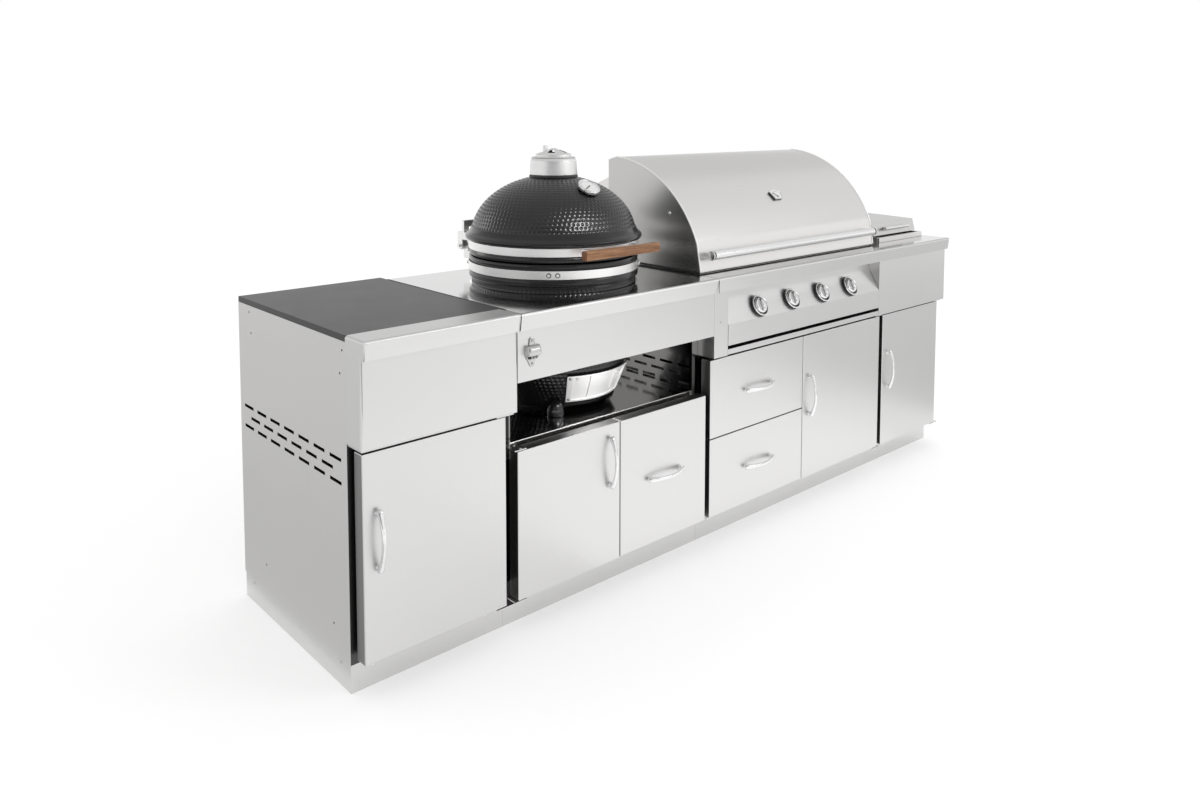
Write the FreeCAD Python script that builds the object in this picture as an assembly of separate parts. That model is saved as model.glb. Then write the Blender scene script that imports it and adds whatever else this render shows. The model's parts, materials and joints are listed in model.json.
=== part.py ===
import FreeCAD, Part
import math
import os

# Outdoor kitchen in stainless steel: end cabinet with a stone slab, cabinet with a ceramic kamado, cabinet
# with a gas grill, and cabinet with a side burner. Millimetres, Z up, the front faces -Y, and the origin is on
# the floor under the middle of the outline.

V = FreeCAD.Vector

# Cabinet row
end_width = 465.0
kamado_width = 802.0
grill_width = 1039.0
burner_width = 469.0
depth = 747.0
kamado_setback = 44.0
worktop_height = 900.0
plinth_height = 75.0
plinth_setback = 4.0
plinth_inset = 2.0
sheet = 1.5
slab_thickness = 16.0
seam = 0.6
post_width = 25.0
post_depth = 12.0

# Fronts
nosing_overhang = 20.0
nosing_height = 48.0
nosing_lean = 6.0
apron_depth = 72.0
end_front_height = 272.0
kamado_front_height = 192.0
burner_front_height = 267.0
apron_return = 25.0
shelf_height = 520.0
shelf_lip = 25.0

# Side panel vents: slots in three staggered rows
slot_length = 61.0
slot_height = 9.0
slot_pitch = 88.8
slot_counts = (7, 6, 7)
slot_row_pitch = 29.5
slot_top_row = 584.5
panel_hole_radius = 3.0
low_holes = ((86.0, 75.0), (497.0, 75.0))
high_holes = ((78.0, 19.0), (88.0, 78.0), (626.0, 82.0), (639.0, 23.0))

# Doors and drawers
door_recess = 17.0
door_thickness = 40.0
door_lift = 18.0
door_top_gap = 10.0
shelf_door_gap = 8.0
door_split_gap = 3.0
end_margins = (10.0, 28.0)
kamado_margins = (12.0, 19.0)
grill_margins = (3.0, 14.0)
burner_margins = (11.0, 27.0)
pivot_inset = 15.0
pivot_setback = 10.0
pivot_pin_radius = 4.0
pivot_pin_length = 14.0
pivot_plate = 3.0
pivot_plate_gap = 2.0
pivot_block = 30.0
running_clearance = 0.08
handle_length = 160.0
handle_width = 17.0
handle_strap = 8.0
handle_foot = 15.0
handle_projection = 33.0
handle_inset = 40.0
handle_height = 398.0
divider_thickness = 3.0
drawer_depth = 560.0
drawer_floor_gap = 18.0
drawer_side_drop = 70.0
drawer_side_gap = 12.0
runner_height = 40.0
running_gap = 0.3

# Gas grill
stile_width = 69.0
burner_apron_lap = 50.0
hood_length = 1045.0
hood_front = 90.0
hood_gap = 9.0
hood_flange_height = 91.0
hood_flange_lean = 16.0
hood_radius = 439.0
hood_rise = 275.0
hood_ridge_run = 384.0
hood_chamfer_run = 43.0
hood_chamfer_drop = 12.0
hood_end_inset = 2.0
hinge_height = 50.0
hinge_setback = 18.0
hinge_pin_radius = 6.0
casing_inset = 10.0
casing_front_height = 302.0
casing_depth = 175.0
casing_slope = 0.404
casing_ear = 45.0
grill_rim = 2.0
firebox_inset = 30.0
firebox_front = 40.0
firebox_depth = 400.0
firebox_height = 230.0
drain_width = 60.0
ledge = 12.0
grate_count = 3
grate_bars = 12
grate_bar = 7.0
grate_height = 12.0
grate_drop = 18.0
grate_gap = 2.0
burner_count = 4
burner_pitch = 184.0
burner_tube_radius = 14.0
burner_drop = 110.0
tamer_width = 90.0
tamer_height = 32.0
tamer_drop = 75.0
panel_recess = 48.0
panel_crease_low = 165.0
panel_crease_high = 82.0
panel_height = 236.0
panel_return = 40.0
panel_gap = 1.5
tray_height = 18.0
tray_gap = 11.0
tray_depth = 560.0
tray_wall = 13.0
rail_width = 7.0
knob_drop = 131.0
knob_radius = 25.0
knob_skirt = 14.0
knob_grip = 14.0
knob_grip_width = 12.0
knob_grip_inset = 4.0
knob_gap = 3.0
knob_stem_radius = 4.0
knob_stem_reach = 18.0
stem_hole_gap = 2.0
bezel_radius = 38.0
bezel_bore = 28.5
bezel_height = 13.0
valve_radius = 14.0
valve_length = 52.0
manifold_radius = 9.0
manifold_overhang = 60.0
hood_tube_radius = 15.0
hood_tube_length = 985.0
hood_tube_standoff = 33.0
hood_tube_height = 53.0
hood_block_width = 34.0
hood_block_height = 44.0
hood_block_lead = 8.0
gauge_rise = 218.0
gauge_top = 64.0
gauge_foot = 42.0
gauge_height = 44.0
gauge_crown = 10.0
gauge_thickness = 9.0
gauge_stem_radius = 4.0
gauge_stem = 12.0
gauge_needle = 25.0
gauge_cold_angle = 50.0
dial_cold_angle = 120.0
needle_spindle_radius = 1.5
needle_spindle = 3.5
needle_width = 2.4
needle_thickness = 0.8

# Side burner
side_length = 340.0
side_right_margin = 40.0
side_front = 108.0
side_depth = 470.0
side_rim_width = 10.0
side_rim_height = 20.0
side_pan_depth = 45.0
side_lid_setback = 30.0
side_lid_inset = 5.0
side_lid_height = 50.0
side_lid_lean = 13.0
side_lid_rise = 12.0
side_lid_gap = 4.0
side_lid_tail = 25.0
side_pin_radius = 4.0
side_pin_height = 9.0
side_ear = 3.0
side_burner_radius = 48.0
side_burner_neck = 38.0
side_burner_height = 30.0
trivet_bar = 8.0
trivet_height = 12.0
side_tube_radius = 6.0
side_post_half = 4.0
side_tube_length = 180.0
side_tube_standoff = 16.0
side_tube_height = 27.0

# Kamado
bowl_radius = 262.0
bowl_rise = 460.0
bowl_waist = 870.0
rim_radius = 268.0
rim_bottom = 922.0
split_height = 990.0
split_gap = 0.6
ceramic_wall = 24.0
bowl_lift = 12.0
bowl_floor = 24.0
dome_radius = 262.0
dome_rise = 192.0
dome_spring = 1050.0
lip_radius = 281.0
lip_height = 1047.0
lip_bottom = 1039.0
lip_top = 1064.0
dome_cut = 1236.0
vent_bore = 55.0
band_thickness = 3.0
band_width = 25.0
lower_band_bottom = 945.0
upper_band_bottom = 1011.0
band_gap = 0.3
bolt_radius = 4.5
bolt_height = 5.0
bolt_pitch = 26.0
bolt_angles = (-132.0, -40.0, 40.0, 132.0)
collar_radius = 75.0
collar_bore = 60.0
collar_height = 55.0
hub_radius = 10.0
hub_bar = 12.0
wheel_radius = 57.0
wheel_foot_radius = 71.0
wheel_thickness = 8.0
wheel_crown = 20.0
wheel_crown_radius = 12.0
wheel_pin_radius = 5.0
wheel_hole_radius = 9.0
wheel_hole_circle = 36.0
wheel_holes = 6
wheel_post = 13.0
wheel_post_height = 37.0
wheel_post_circle = 26.0
wheel_post_angle = 138.0
dial_radius = 36.0
dial_thickness = 14.0
dial_reach = 165.0
dial_stem_radius = 5.0
dial_recess = 3.0
dial_needle = 26.0
wood_length = 300.0
wood_height = 28.0
wood_thickness = 24.0
wood_round = 3.0
wood_standoff = 36.0
wood_lift = 1.0
wood_bracket_spread = 190.0
wood_bracket_width = 14.0
wood_bracket_height = 18.0
kamado_pivot_reach = 312.0
kamado_pin_radius = 6.0
kamado_pin_length = 312.0
knuckle_radius = 14.0
knuckle_width = 20.0
arm_spread = 297.0
base_spread = 250.0
spring_bar_length = 297.0
spring_bar_height = 22.0
spring_bar_depth = 12.0
spring_bar_lift = 64.0
draft_turn = 4.5
draft_half_angle = 34.5
draft_end_angle = 5.0
draft_bottom = 558.0
draft_top = 646.0
draft_plate = 2.0
draft_rail = 5.0
draft_rail_height = 7.0
draft_door_plate = 1.5
draft_door_half_angle = 15.0
draft_window_half_angle = 12.0
draft_tab = 10.0
draft_tab_angle = 3.0
foot_radius = 27.0
foot_reach = 27.0
foot_height = 45.0
foot_gap = 3.37
foot_count = 3
cup_gap = 28.0
cup_wall = 18.0
cup_height = 234.0
ring_gap = 22.0
ring_wall = 21.0
ring_top = 962.0
kamado_grate_gap = 16.0
kamado_grate_bar = 6.0
kamado_grate_count = 15

# Bottle opener and screws
opener_x = 48.0
opener_drop = 114.0
opener_width = 48.0
opener_ear = 28.0
opener_spread = 52.0
opener_plate = 4.0
opener_lip_radius = 15.0
opener_lip_wall = 4.0
screw_radius = 5.0
screw_height = 1.8
screw_inset = 60.0
screw_floor = 57.0
stile_screw_drop = 152.0
burner_screw_inset = 23.0

# Places that follow from the sizes
length = end_width + kamado_width + grill_width + burner_width
x_end = -length/2
x_kamado = x_end + end_width
x_grill = x_kamado + kamado_width
x_burner = x_grill + grill_width
x_right = x_burner + burner_width
y_front = -depth/2
y_apron = y_front + nosing_overhang
y_case = y_apron + apron_depth
y_door = y_apron + door_recess
y_back = depth/2
y_kamado_back = y_back - kamado_setback
z_under_sheet = worktop_height - sheet
z_under_slab = worktop_height - slab_thickness
z_nosing = worktop_height - nosing_height
z_door = plinth_height + door_lift
z_floor = plinth_height + sheet
half_seam = seam/2

# Inner faces of each cabinet's side panels
end_inner = (x_end + sheet, x_kamado - half_seam - sheet)
kamado_inner = (x_kamado + half_seam + sheet, x_grill - half_seam - sheet)
grill_inner = (x_grill + half_seam + sheet, x_burner - half_seam - sheet)
burner_inner = (x_burner + half_seam + sheet, x_right - 2*sheet)

# Shared centres and axes
x_kamado_axis = x_kamado + kamado_width/2
y_kamado_axis = (y_front + y_kamado_back)/2
x_panel_left = x_grill + stile_width
x_panel_right = x_burner - burner_apron_lap
x_grill_axis = (x_panel_left + x_panel_right)/2
y_hood = y_front + hood_front
z_hood = worktop_height + hood_gap
z_flange = z_hood + hood_flange_height
y_flange = y_hood + hood_flange_lean
y_ridge = y_flange + hood_ridge_run
y_hood_back = y_ridge + hood_chamfer_run
y_hinge = y_hood_back - hinge_setback
z_hinge = worktop_height + hinge_height
z_kamado_pivot = split_height
y_kamado_pivot = y_kamado_axis + kamado_pivot_reach


def box(x0, x1, y0, y1, z0, z1):
    """Block between two corners."""
    return Part.makeBox(x1 - x0, y1 - y0, z1 - z0, V(x0, y0, z0))


def rod(start, direction, radius, reach):
    """Cylinder from a point along a direction."""
    return Part.makeCylinder(radius, reach, start, direction)


def fuse(shapes):
    """One solid from touching shapes, with needless seams removed."""
    whole = shapes[0]
    for shape in shapes[1:]:
        whole = whole.fuse(shape)
    return whole.removeSplitter()


def prism_x(outline, x0, x1):
    """Extrudes (y, z) corners along X."""
    points = [V(x0, y, z) for y, z in outline]
    wire = Part.makePolygon(points + points[:1])
    return Part.Face(wire).extrude(V(x1 - x0, 0, 0))


def prism_edges(edges, direction):
    """Extrudes a face bounded by edges."""
    return Part.Face(Part.Wire(edges)).extrude(direction)


def turned(outline, x, y, angle=360.0, start=0.0):
    """Turns (radius, z) corners about a vertical axis, from the -Y side by a start angle."""
    points = [V(x, y - r, z) for r, z in outline]
    face = Part.Face(Part.makePolygon(points + points[:1]))
    solid = face.revolve(V(x, y, 0), V(0, 0, 1), angle)
    solid.rotate(V(x, y, 0), V(0, 0, 1), start)
    return solid


def turned_edges(edges, x, y):
    """Turns a closed row of edges in the plane at x once about a vertical axis."""
    return Part.Face(Part.Wire(edges)).revolve(V(x, y, 0), V(0, 0, 1), 360)


def segment(a, b):
    """Straight edge."""
    return Part.makeLine(a, b)


def arc(a, b, c):
    """Arc edge from a through b to c."""
    return Part.Arc(a, b, c).toShape()


def carried(solid, origin, normal):
    """Moves a solid built on XY, facing +Z, to a point on a tilted face, keeping its X axis level."""
    turn = FreeCAD.Rotation(V(1, 0, 0), normal.cross(V(1, 0, 0)), normal, "ZXY")
    moved = solid.copy()
    moved.Placement = FreeCAD.Placement(origin, turn)
    return moved


# Cabinet cases
def slots(x0, x1, y_rear):
    """Slots through a side panel, in staggered rows."""
    middle = (y_case + y_rear)/2
    cuts = []
    for row, count in enumerate(slot_counts):
        z = slot_top_row - row*slot_row_pitch
        for i in range(count):
            y = middle + (i - (count - 1)/2)*slot_pitch*(y_rear - y_case)/(y_back - y_case)
            cuts.append(box(x0 - 1, x1 + 1, y - slot_length/2, y + slot_length/2,
                            z - slot_height/2, z + slot_height/2))
    return cuts


def side_panel(x0, y_rear, z_top):
    """Flat side panel with its vents."""
    panel = box(x0, x0 + sheet, y_case, y_rear, plinth_height, z_top)
    return panel.cut(Part.makeCompound(slots(x0, x0 + sheet, y_rear)))


def outer_panel(x0, y_rear, z_top):
    """Side panel at the end of the row, which also has fixing holes."""
    panel = side_panel(x0, y_rear, z_top)
    holes = [(y_case + inset, plinth_height + lift) for inset, lift in low_holes]
    holes += [(y_rear - inset, z_top - drop) for inset, drop in high_holes]
    for y, z in holes:
        panel = panel.cut(rod(V(x0 - 1, y, z), V(1, 0, 0), panel_hole_radius, sheet + 2))
    return panel


def case(left, right, inner, y_rear, z_top, z_back):
    """Back, floor and front posts between two side panels."""
    x0, x1 = inner
    solids = [left, right]
    solids.append(box(x0, x1, y_rear - sheet, y_rear, plinth_height, z_back))
    solids.append(box(x0, x1, y_case, y_rear - sheet, plinth_height, z_floor))
    solids.append(box(x0, x0 + post_width, y_case, y_case + post_depth, z_floor, z_top))
    solids.append(box(x1 - post_width, x1, y_case, y_case + post_depth, z_floor, z_top))
    return solids


def end_case():
    left = outer_panel(x_end, y_back, z_under_slab)
    right = side_panel(end_inner[1], y_back, z_under_slab)
    return case(left, right, end_inner, y_back, z_under_slab, z_under_slab)


def kamado_case():
    """Case whose back ends at the shelf, so that the bay is open behind the bowl."""
    left = side_panel(kamado_inner[0] - sheet, y_kamado_back, z_under_sheet)
    right = side_panel(kamado_inner[1], y_kamado_back, z_under_sheet)
    solids = case(left, right, kamado_inner, y_kamado_back, z_under_sheet, shelf_height)
    solids.append(box(kamado_split - divider_thickness/2, kamado_split + divider_thickness/2,
                      y_case + post_depth, y_kamado_back - sheet, z_floor, shelf_height - sheet))
    return solids


def grill_case():
    left = side_panel(grill_inner[0] - sheet, y_back, z_under_sheet)
    right = side_panel(grill_inner[1], y_back, z_under_sheet)
    solids = case(left, right, grill_inner, y_back, z_under_sheet, z_under_sheet)
    solids.append(box(grill_split - divider_thickness/2, grill_split + divider_thickness/2,
                      y_case + post_depth, y_back - sheet, z_floor, front_door_top))
    return solids


def burner_case():
    left = side_panel(burner_inner[0] - sheet, y_back, z_under_sheet)
    right = outer_panel(burner_inner[1], y_back, z_under_sheet)
    return case(left, right, burner_inner, y_back, z_under_sheet, z_under_sheet)


def plinth(x0, x1, y_rear):
    """Four boards under one cabinet."""
    y0 = y_case + plinth_setback
    y1 = y_rear - plinth_inset
    front = box(x0, x1, y0, y0 + sheet, 0, plinth_height)
    rear = box(x0, x1, y1 - sheet, y1, 0, plinth_height)
    left = box(x0, x0 + sheet, y0 + sheet, y1 - sheet, 0, plinth_height)
    right = box(x1 - sheet, x1, y0 + sheet, y1 - sheet, 0, plinth_height)
    return [front, rear, left, right]


def plinths():
    return (plinth(x_end + plinth_inset, x_kamado - half_seam, y_back)
            + plinth(x_kamado + half_seam, x_grill - half_seam, y_kamado_back)
            + plinth(x_grill + half_seam, x_burner - half_seam, y_back)
            + plinth(x_burner + half_seam, x_right - plinth_inset, y_back))


# Tops and fronts
def stone_top():
    return [box(x_end, x_kamado - half_seam, y_case, y_back, z_under_slab, worktop_height)]


def end_front():
    """Nosing and apron folded as one piece, open at the back."""
    z0 = worktop_height - end_front_height
    x1 = x_kamado - half_seam
    heel = y_front + nosing_lean
    outer = [(heel, z_nosing), (y_front, worktop_height), (y_case, worktop_height), (y_case, z0),
             (y_apron, z0), (y_apron, z_nosing)]
    inner = [(heel + sheet, z_nosing + sheet), (y_front + sheet, z_under_sheet),
             (y_case + sheet, z_under_sheet), (y_case + sheet, z0 + sheet),
             (y_apron + sheet, z0 + sheet), (y_apron + sheet, z_nosing + sheet)]
    shell = prism_x(outer, x_end, x1)
    return [shell.cut(prism_x(inner, x_end + sheet, x1 - sheet))]


def nosed_sheet(x0, x1, y_rear):
    """Worktop sheet with a folded nosing that leans back and returns to the apron."""
    heel = y_front + nosing_lean
    top = box(x0, x1, y_front + sheet, y_rear, z_under_sheet, worktop_height)
    face = [(y_front, worktop_height), (heel, z_nosing), (heel + sheet, z_nosing),
            (y_front + sheet, worktop_height)]
    under = box(x0, x1, heel + sheet/2, y_apron, z_nosing, z_nosing + sheet)
    return fuse([top, prism_x(face, x0, x1), under])


def kamado_worktop():
    top = nosed_sheet(x_kamado + half_seam, x_grill - half_seam, y_kamado_back)
    hole = rod(V(x_kamado_axis, y_kamado_axis, z_under_sheet - 1), V(0, 0, 1), rim_radius, sheet + 2)
    return [top.cut(hole)]


def apron(x0, x1, z0, z1):
    """Front panel with returned ends and bottom edge."""
    front = box(x0, x1, y_apron, y_apron + sheet, z0, z1)
    left = box(x0, x0 + sheet, y_apron, y_case, z0, z1)
    right = box(x1 - sheet, x1, y_apron, y_case, z0, z1)
    under = box(x0, x1, y_apron, y_apron + apron_return, z0, z0 + sheet)
    return fuse([front, left, right, under])


def kamado_apron():
    z0 = worktop_height - kamado_front_height
    return [apron(x_kamado + half_seam, x_grill - half_seam, z0, z_under_sheet)]


def control_surround():
    """Stile left of the controls, and the apron right of them."""
    z0 = worktop_height - burner_front_height
    stile = apron(x_grill + half_seam, x_panel_left, z0, z_under_sheet)
    right = apron(x_panel_right, x_right - 2*sheet, z0, z_under_sheet)
    return [stile, right]


def kamado_shelf():
    """Shelf with a folded lip between the front posts."""
    x0, x1 = kamado_inner
    z0 = shelf_height - sheet
    back = box(x0, x1, y_case + post_depth, y_kamado_back - sheet, z0, shelf_height)
    front = box(x0 + post_width, x1 - post_width, y_case, y_case + post_depth, z0, shelf_height)
    z_lip = shelf_height - shelf_lip
    lip = box(x0 + post_width, x1 - post_width, y_case, y_case + sheet, z_lip, shelf_height)
    return [fuse([back, front, lip])]


def grill_worktop():
    """One sheet over the grill and burner cabinets, with two cut-outs and a folded right edge."""
    top = nosed_sheet(x_grill + half_seam, x_right, y_back)
    edge = [(y_front, worktop_height), (y_front + nosing_lean, z_nosing), (y_back, z_nosing),
            (y_back, worktop_height)]
    top = fuse([top, prism_x(edge, x_right - sheet, x_right)])
    x0, x1, y0, y1 = firebox_box()
    grill_hole = box(x0 - 1, x1 + 1, y0 - 1, y1 + 1, z_under_sheet - 1, worktop_height + 1)
    s0, s1, t0, t1 = side_pan_box()
    side_hole = box(s0 - 1, s1 + 1, t0 - 1, t1 + 1, z_under_sheet - 1, worktop_height + 1)
    return [top.cut(grill_hole).cut(side_hole)]


def bottle_opener():
    """Cast plate with two screwed ears and a wide lip in the middle that catches a cap."""
    x = x_kamado + opener_x
    z = worktop_height - opener_drop
    ear = opener_ear/2
    half = opener_width/2
    y = y_apron - opener_plate
    spine = box(x - ear, x + ear, y, y_apron, z - opener_spread/2, z + opener_spread/2)
    middle = box(x - half, x + half, y, y_apron, z - opener_lip_radius, z + opener_lip_radius)
    start = V(x - half, y, z)
    lip = rod(start, V(1, 0, 0), opener_lip_radius, opener_width)
    lip = lip.cut(rod(start, V(1, 0, 0), opener_lip_radius - opener_lip_wall, opener_width))
    front = box(x - half, x + half, y - opener_lip_radius, y, z - opener_lip_wall, z + opener_lip_radius)
    ends = []
    for side in (-1, 1):
        centre = V(x, y, z + side*opener_spread/2)
        ends.append(rod(centre, V(0, 1, 0), ear, opener_plate))
        ends.append(rod(centre, V(0, -1, 0), screw_radius, screw_height))
    return [fuse([spine, middle, lip.common(front)] + ends)]


# Doors, drawers and their handles
front_door_top = worktop_height - burner_front_height - door_top_gap
end_door_top = worktop_height - end_front_height - door_top_gap
kamado_door_top = shelf_height - shelf_door_gap


def opening_span(x0, x1, margins):
    """Left and right edges of a cabinet's fronts."""
    return x0 + margins[0], x1 - margins[1]


end_span = opening_span(x_end, x_kamado, end_margins)
kamado_span = opening_span(x_kamado, x_grill, kamado_margins)
grill_span = opening_span(x_grill, x_burner, grill_margins)
burner_span = opening_span(x_burner, x_right, burner_margins)
kamado_split = sum(kamado_span)/2
grill_split = sum(grill_span)/2
drawer_split = (z_door + front_door_top)/2
half_split = door_split_gap/2


def hollow_front(x0, x1, z0, z1):
    """Double-skinned door or drawer front."""
    y1 = y_door + door_thickness
    skin = box(x0, x1, y_door, y1, z0, z1)
    inside = box(x0 + sheet, x1 - sheet, y_door + sheet, y1 - sheet, z0 + sheet, z1 - sheet)
    return skin, inside


def door(x0, x1, z1, hinge_right):
    """Door with solid blocks round its two pivot bores."""
    skin, inside = hollow_front(x0, x1, z_door, z1)
    x_pivot = door_pivot(x0, x1, hinge_right)
    y_pivot = y_door + pivot_setback
    y1 = y_door + door_thickness
    for z in (z_door, z1 - pivot_block):
        inside = inside.cut(box(x_pivot - pivot_inset, x_pivot + pivot_inset, y_door, y1, z, z + pivot_block))
    panel = skin.cut(inside)
    bore = pivot_pin_radius + running_clearance
    reach = pivot_pin_length + 1
    panel = panel.cut(rod(V(x_pivot, y_pivot, z_door), V(0, 0, 1), bore, reach))
    return [panel.cut(rod(V(x_pivot, y_pivot, z1), V(0, 0, -1), bore, reach))]


def door_pivot(x0, x1, hinge_right):
    """X of a door's vertical pivot axis."""
    if hinge_right:
        return x1 - pivot_inset
    return x0 + pivot_inset


def pivot_bracket(x_pivot, x_post, z_plate, pin_up, leg_up):
    """Plate with a pin, a leg that sits on the front post, and two screw heads."""
    x0 = min(x_pivot - pivot_inset, x_post)
    x1 = max(x_pivot + pivot_inset, x_post + post_width)
    y_pivot = y_door + pivot_setback
    plate = box(x0, x1, y_pivot - pivot_setback, y_case, z_plate, z_plate + pivot_plate)
    z_leg = z_plate if leg_up else z_plate + pivot_plate - runner_height
    leg = box(x_post, x_post + post_width, y_case - pivot_plate, y_case, z_leg, z_leg + runner_height)
    if pin_up:
        pin = rod(V(x_pivot, y_pivot, z_plate), V(0, 0, 1), pivot_pin_radius, pivot_plate + pivot_pin_length)
    else:
        pin = rod(V(x_pivot, y_pivot, z_plate - pivot_pin_length), V(0, 0, 1), pivot_pin_radius,
                  pivot_plate + pivot_pin_length)
    heads = []
    for y in (y_pivot, y_pivot + 2*pivot_inset):
        heads.append(rod(V(x_pivot, y, z_plate + pivot_plate), V(0, 0, 1), screw_radius, screw_height))
    return fuse([plate, leg, pin] + ([] if pin_up else heads))


def pivot_pair(span, z1, hinge_right, inner):
    """Upper and lower pivot brackets of one door."""
    x_pivot = door_pivot(span[0], span[1], hinge_right)
    x_post = inner[1] - post_width if hinge_right else inner[0]
    upper = pivot_bracket(x_pivot, x_post, z1 + pivot_plate_gap, False, False)
    lower = pivot_bracket(x_pivot, x_post, z_door - pivot_plate_gap - pivot_plate, True, True)
    return [upper, lower]


kamado_door_span = (kamado_span[0], kamado_split - half_split)
grill_door_span = (grill_split + half_split, grill_span[1])
tall_drawer_span = (kamado_split + half_split, kamado_span[1])
grill_drawer_span = (grill_span[0], grill_split - half_split)


def door_pivots():
    return (pivot_pair(end_span, end_door_top, True, end_inner)
            + pivot_pair(kamado_door_span, kamado_door_top, False, kamado_inner)
            + pivot_pair(grill_door_span, front_door_top, True, grill_inner)
            + pivot_pair(burner_span, front_door_top, True, burner_inner))


def bow():
    """Arched strap handle lying along X on the plane y = 0, standing out to -Y."""
    half = handle_length/2
    foot = half - handle_foot
    top = handle_projection
    outer = arc(V(-half, 0, 0), V(0, -top, 0), V(half, 0, 0))
    inner = arc(V(foot, 0, 0), V(0, handle_strap - top, 0), V(-foot, 0, 0))
    ends = [segment(V(half, 0, 0), V(foot, 0, 0)), segment(V(-foot, 0, 0), V(-half, 0, 0))]
    strap = prism_edges([outer, ends[0], inner, ends[1]], V(0, 0, handle_width))
    strap.translate(V(0, 0, -handle_width/2))
    return strap


def upright_handle(span, hinge_right):
    """Handle on a door, near the edge away from its hinge."""
    x = span[0] + handle_inset if hinge_right else span[1] - handle_inset
    strap = bow()
    strap.rotate(V(0, 0, 0), V(0, 1, 0), 90)
    strap.translate(V(x, y_door, handle_height))
    return [strap]


def level_handle(span, z0, z1):
    """Handle in the middle of a drawer front."""
    strap = bow()
    strap.translate(V(sum(span)/2, y_door, (z0 + z1)/2))
    return [strap]


def drawer_sides(span, inner_left, inner_right):
    """Outer faces of a drawer's box, which passes between the front posts."""
    x0 = max(span[0], inner_left) + drawer_side_gap
    x1 = min(span[1], inner_right) - drawer_side_gap
    return x0, x1


def drawer(span, sides, z0, z1):
    """Drawer front and the four plates of its box."""
    skin, inside = hollow_front(span[0], span[1], z0, z1)
    x0, x1 = sides
    y0 = y_door + door_thickness
    y1 = y0 + drawer_depth
    zb = z0 + drawer_floor_gap
    zt = z1 - drawer_side_drop
    floor = box(x0, x1, y0, y1, zb, zb + sheet)
    left = box(x0, x0 + sheet, y0, y1, zb + sheet, zt)
    right = box(x1 - sheet, x1, y0, y1, zb + sheet, zt)
    rear = box(x0 + sheet, x1 - sheet, y1 - sheet, y1, zb + sheet, zt)
    return [skin.cut(inside), floor, left, right, rear]


tall_drawer_sides = drawer_sides(tall_drawer_span, kamado_split, kamado_inner[1] - post_width)
grill_drawer_sides = drawer_sides(grill_drawer_span, grill_inner[0] + post_width, grill_split)
drawer_heights = {
    "tall": (z_door, kamado_door_top),
    "lower": (z_door, drawer_split - half_split),
    "upper": (drawer_split + half_split, front_door_top),
}


def runner_pair(sides, walls, z0):
    """Rails from the cabinet's walls to just short of a drawer's sides."""
    zb = z0 + drawer_floor_gap + runner_height
    y0 = y_case + post_depth
    y1 = y_door + door_thickness + drawer_depth
    left = box(walls[0], sides[0] - running_gap, y0, y1, zb, zb + runner_height)
    right = box(sides[1] + running_gap, walls[1], y0, y1, zb, zb + runner_height)
    return [left, right]


def tray_rails():
    """Rails that hang from the firebox beside the drip tray."""
    y0 = firebox_box()[2]
    y1 = firebox_box()[3]
    z0, z1 = tray_levels()
    x0, x1 = tray_span()
    top = worktop_height - firebox_height
    left = box(x0 - running_gap - rail_width, x0 - running_gap, y0, y1, z0, top)
    right = box(x1 + running_gap, x1 + running_gap + rail_width, y0, y1, z0, top)
    return [left, right]


def runners():
    divider = divider_thickness/2
    tall_walls = (kamado_split + divider, kamado_inner[1])
    grill_walls = (grill_inner[0], grill_split - divider)
    return (runner_pair(tall_drawer_sides, tall_walls, drawer_heights["tall"][0])
            + runner_pair(grill_drawer_sides, grill_walls, drawer_heights["lower"][0])
            + runner_pair(grill_drawer_sides, grill_walls, drawer_heights["upper"][0])
            + tray_rails())


def panel_screws():
    """Domed screw heads on the stile, the burner apron and the plinths."""
    heads = []
    z = worktop_height - stile_screw_drop
    for x in ((x_grill + half_seam + x_panel_left)/2, x_panel_right + burner_screw_inset):
        heads.append(rod(V(x, y_apron - screw_height, z), V(0, 1, 0), screw_radius, screw_height))
    y = y_case + plinth_setback - screw_height
    for x0, x1 in ((x_end, x_kamado), (x_kamado, x_grill), (x_grill, x_burner), (x_burner, x_right)):
        for x in (x0 + screw_inset, x1 - screw_inset):
            heads.append(rod(V(x, y, screw_floor), V(0, 1, 0), screw_radius, screw_height))
    for y in (y_case + screw_inset, y_back - screw_inset):
        heads.append(rod(V(x_end + plinth_inset, y, screw_floor), V(-1, 0, 0), screw_radius, screw_height))
    return heads


# Gas grill
def firebox_box():
    """Plan of the firebox: x0, x1, y0, y1."""
    half = hood_length/2 - firebox_inset
    y0 = y_hood + firebox_front
    return x_grill_axis - half, x_grill_axis + half, y0, y0 + firebox_depth


def firebox():
    """Walls, floor, grate ledges and rim of the firebox, and the casing with the hood's hinge pins."""
    x0, x1, y0, y1 = firebox_box()
    z0 = worktop_height - firebox_height
    z1 = worktop_height
    front = box(x0, x1, y0, y0 + sheet, z0, z1)
    rear = box(x0, x1, y1 - sheet, y1, z0, z1)
    left = box(x0, x0 + sheet, y0 + sheet, y1 - sheet, z0, z1)
    right = box(x1 - sheet, x1, y0 + sheet, y1 - sheet, z0, z1)
    floor = box(x0 + sheet, x1 - sheet, y0 + sheet, y1 - sheet, z0, z0 + sheet)
    middle = (y0 + y1)/2
    floor = floor.cut(box(x0 + drain_width, x1 - drain_width, middle - drain_width/2, middle + drain_width/2,
                          z0 - 1, z0 + sheet + 1))
    zl = z1 - grate_drop - grate_height
    ledges = [box(x0 + sheet, x1 - sheet, y0 + sheet, y0 + sheet + ledge, zl - sheet, zl),
              box(x0 + sheet, x1 - sheet, y1 - sheet - ledge, y1 - sheet, zl - sheet, zl)]
    return [front, rear, left, right, floor] + ledges + grill_rim_boards() + casing()


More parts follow.
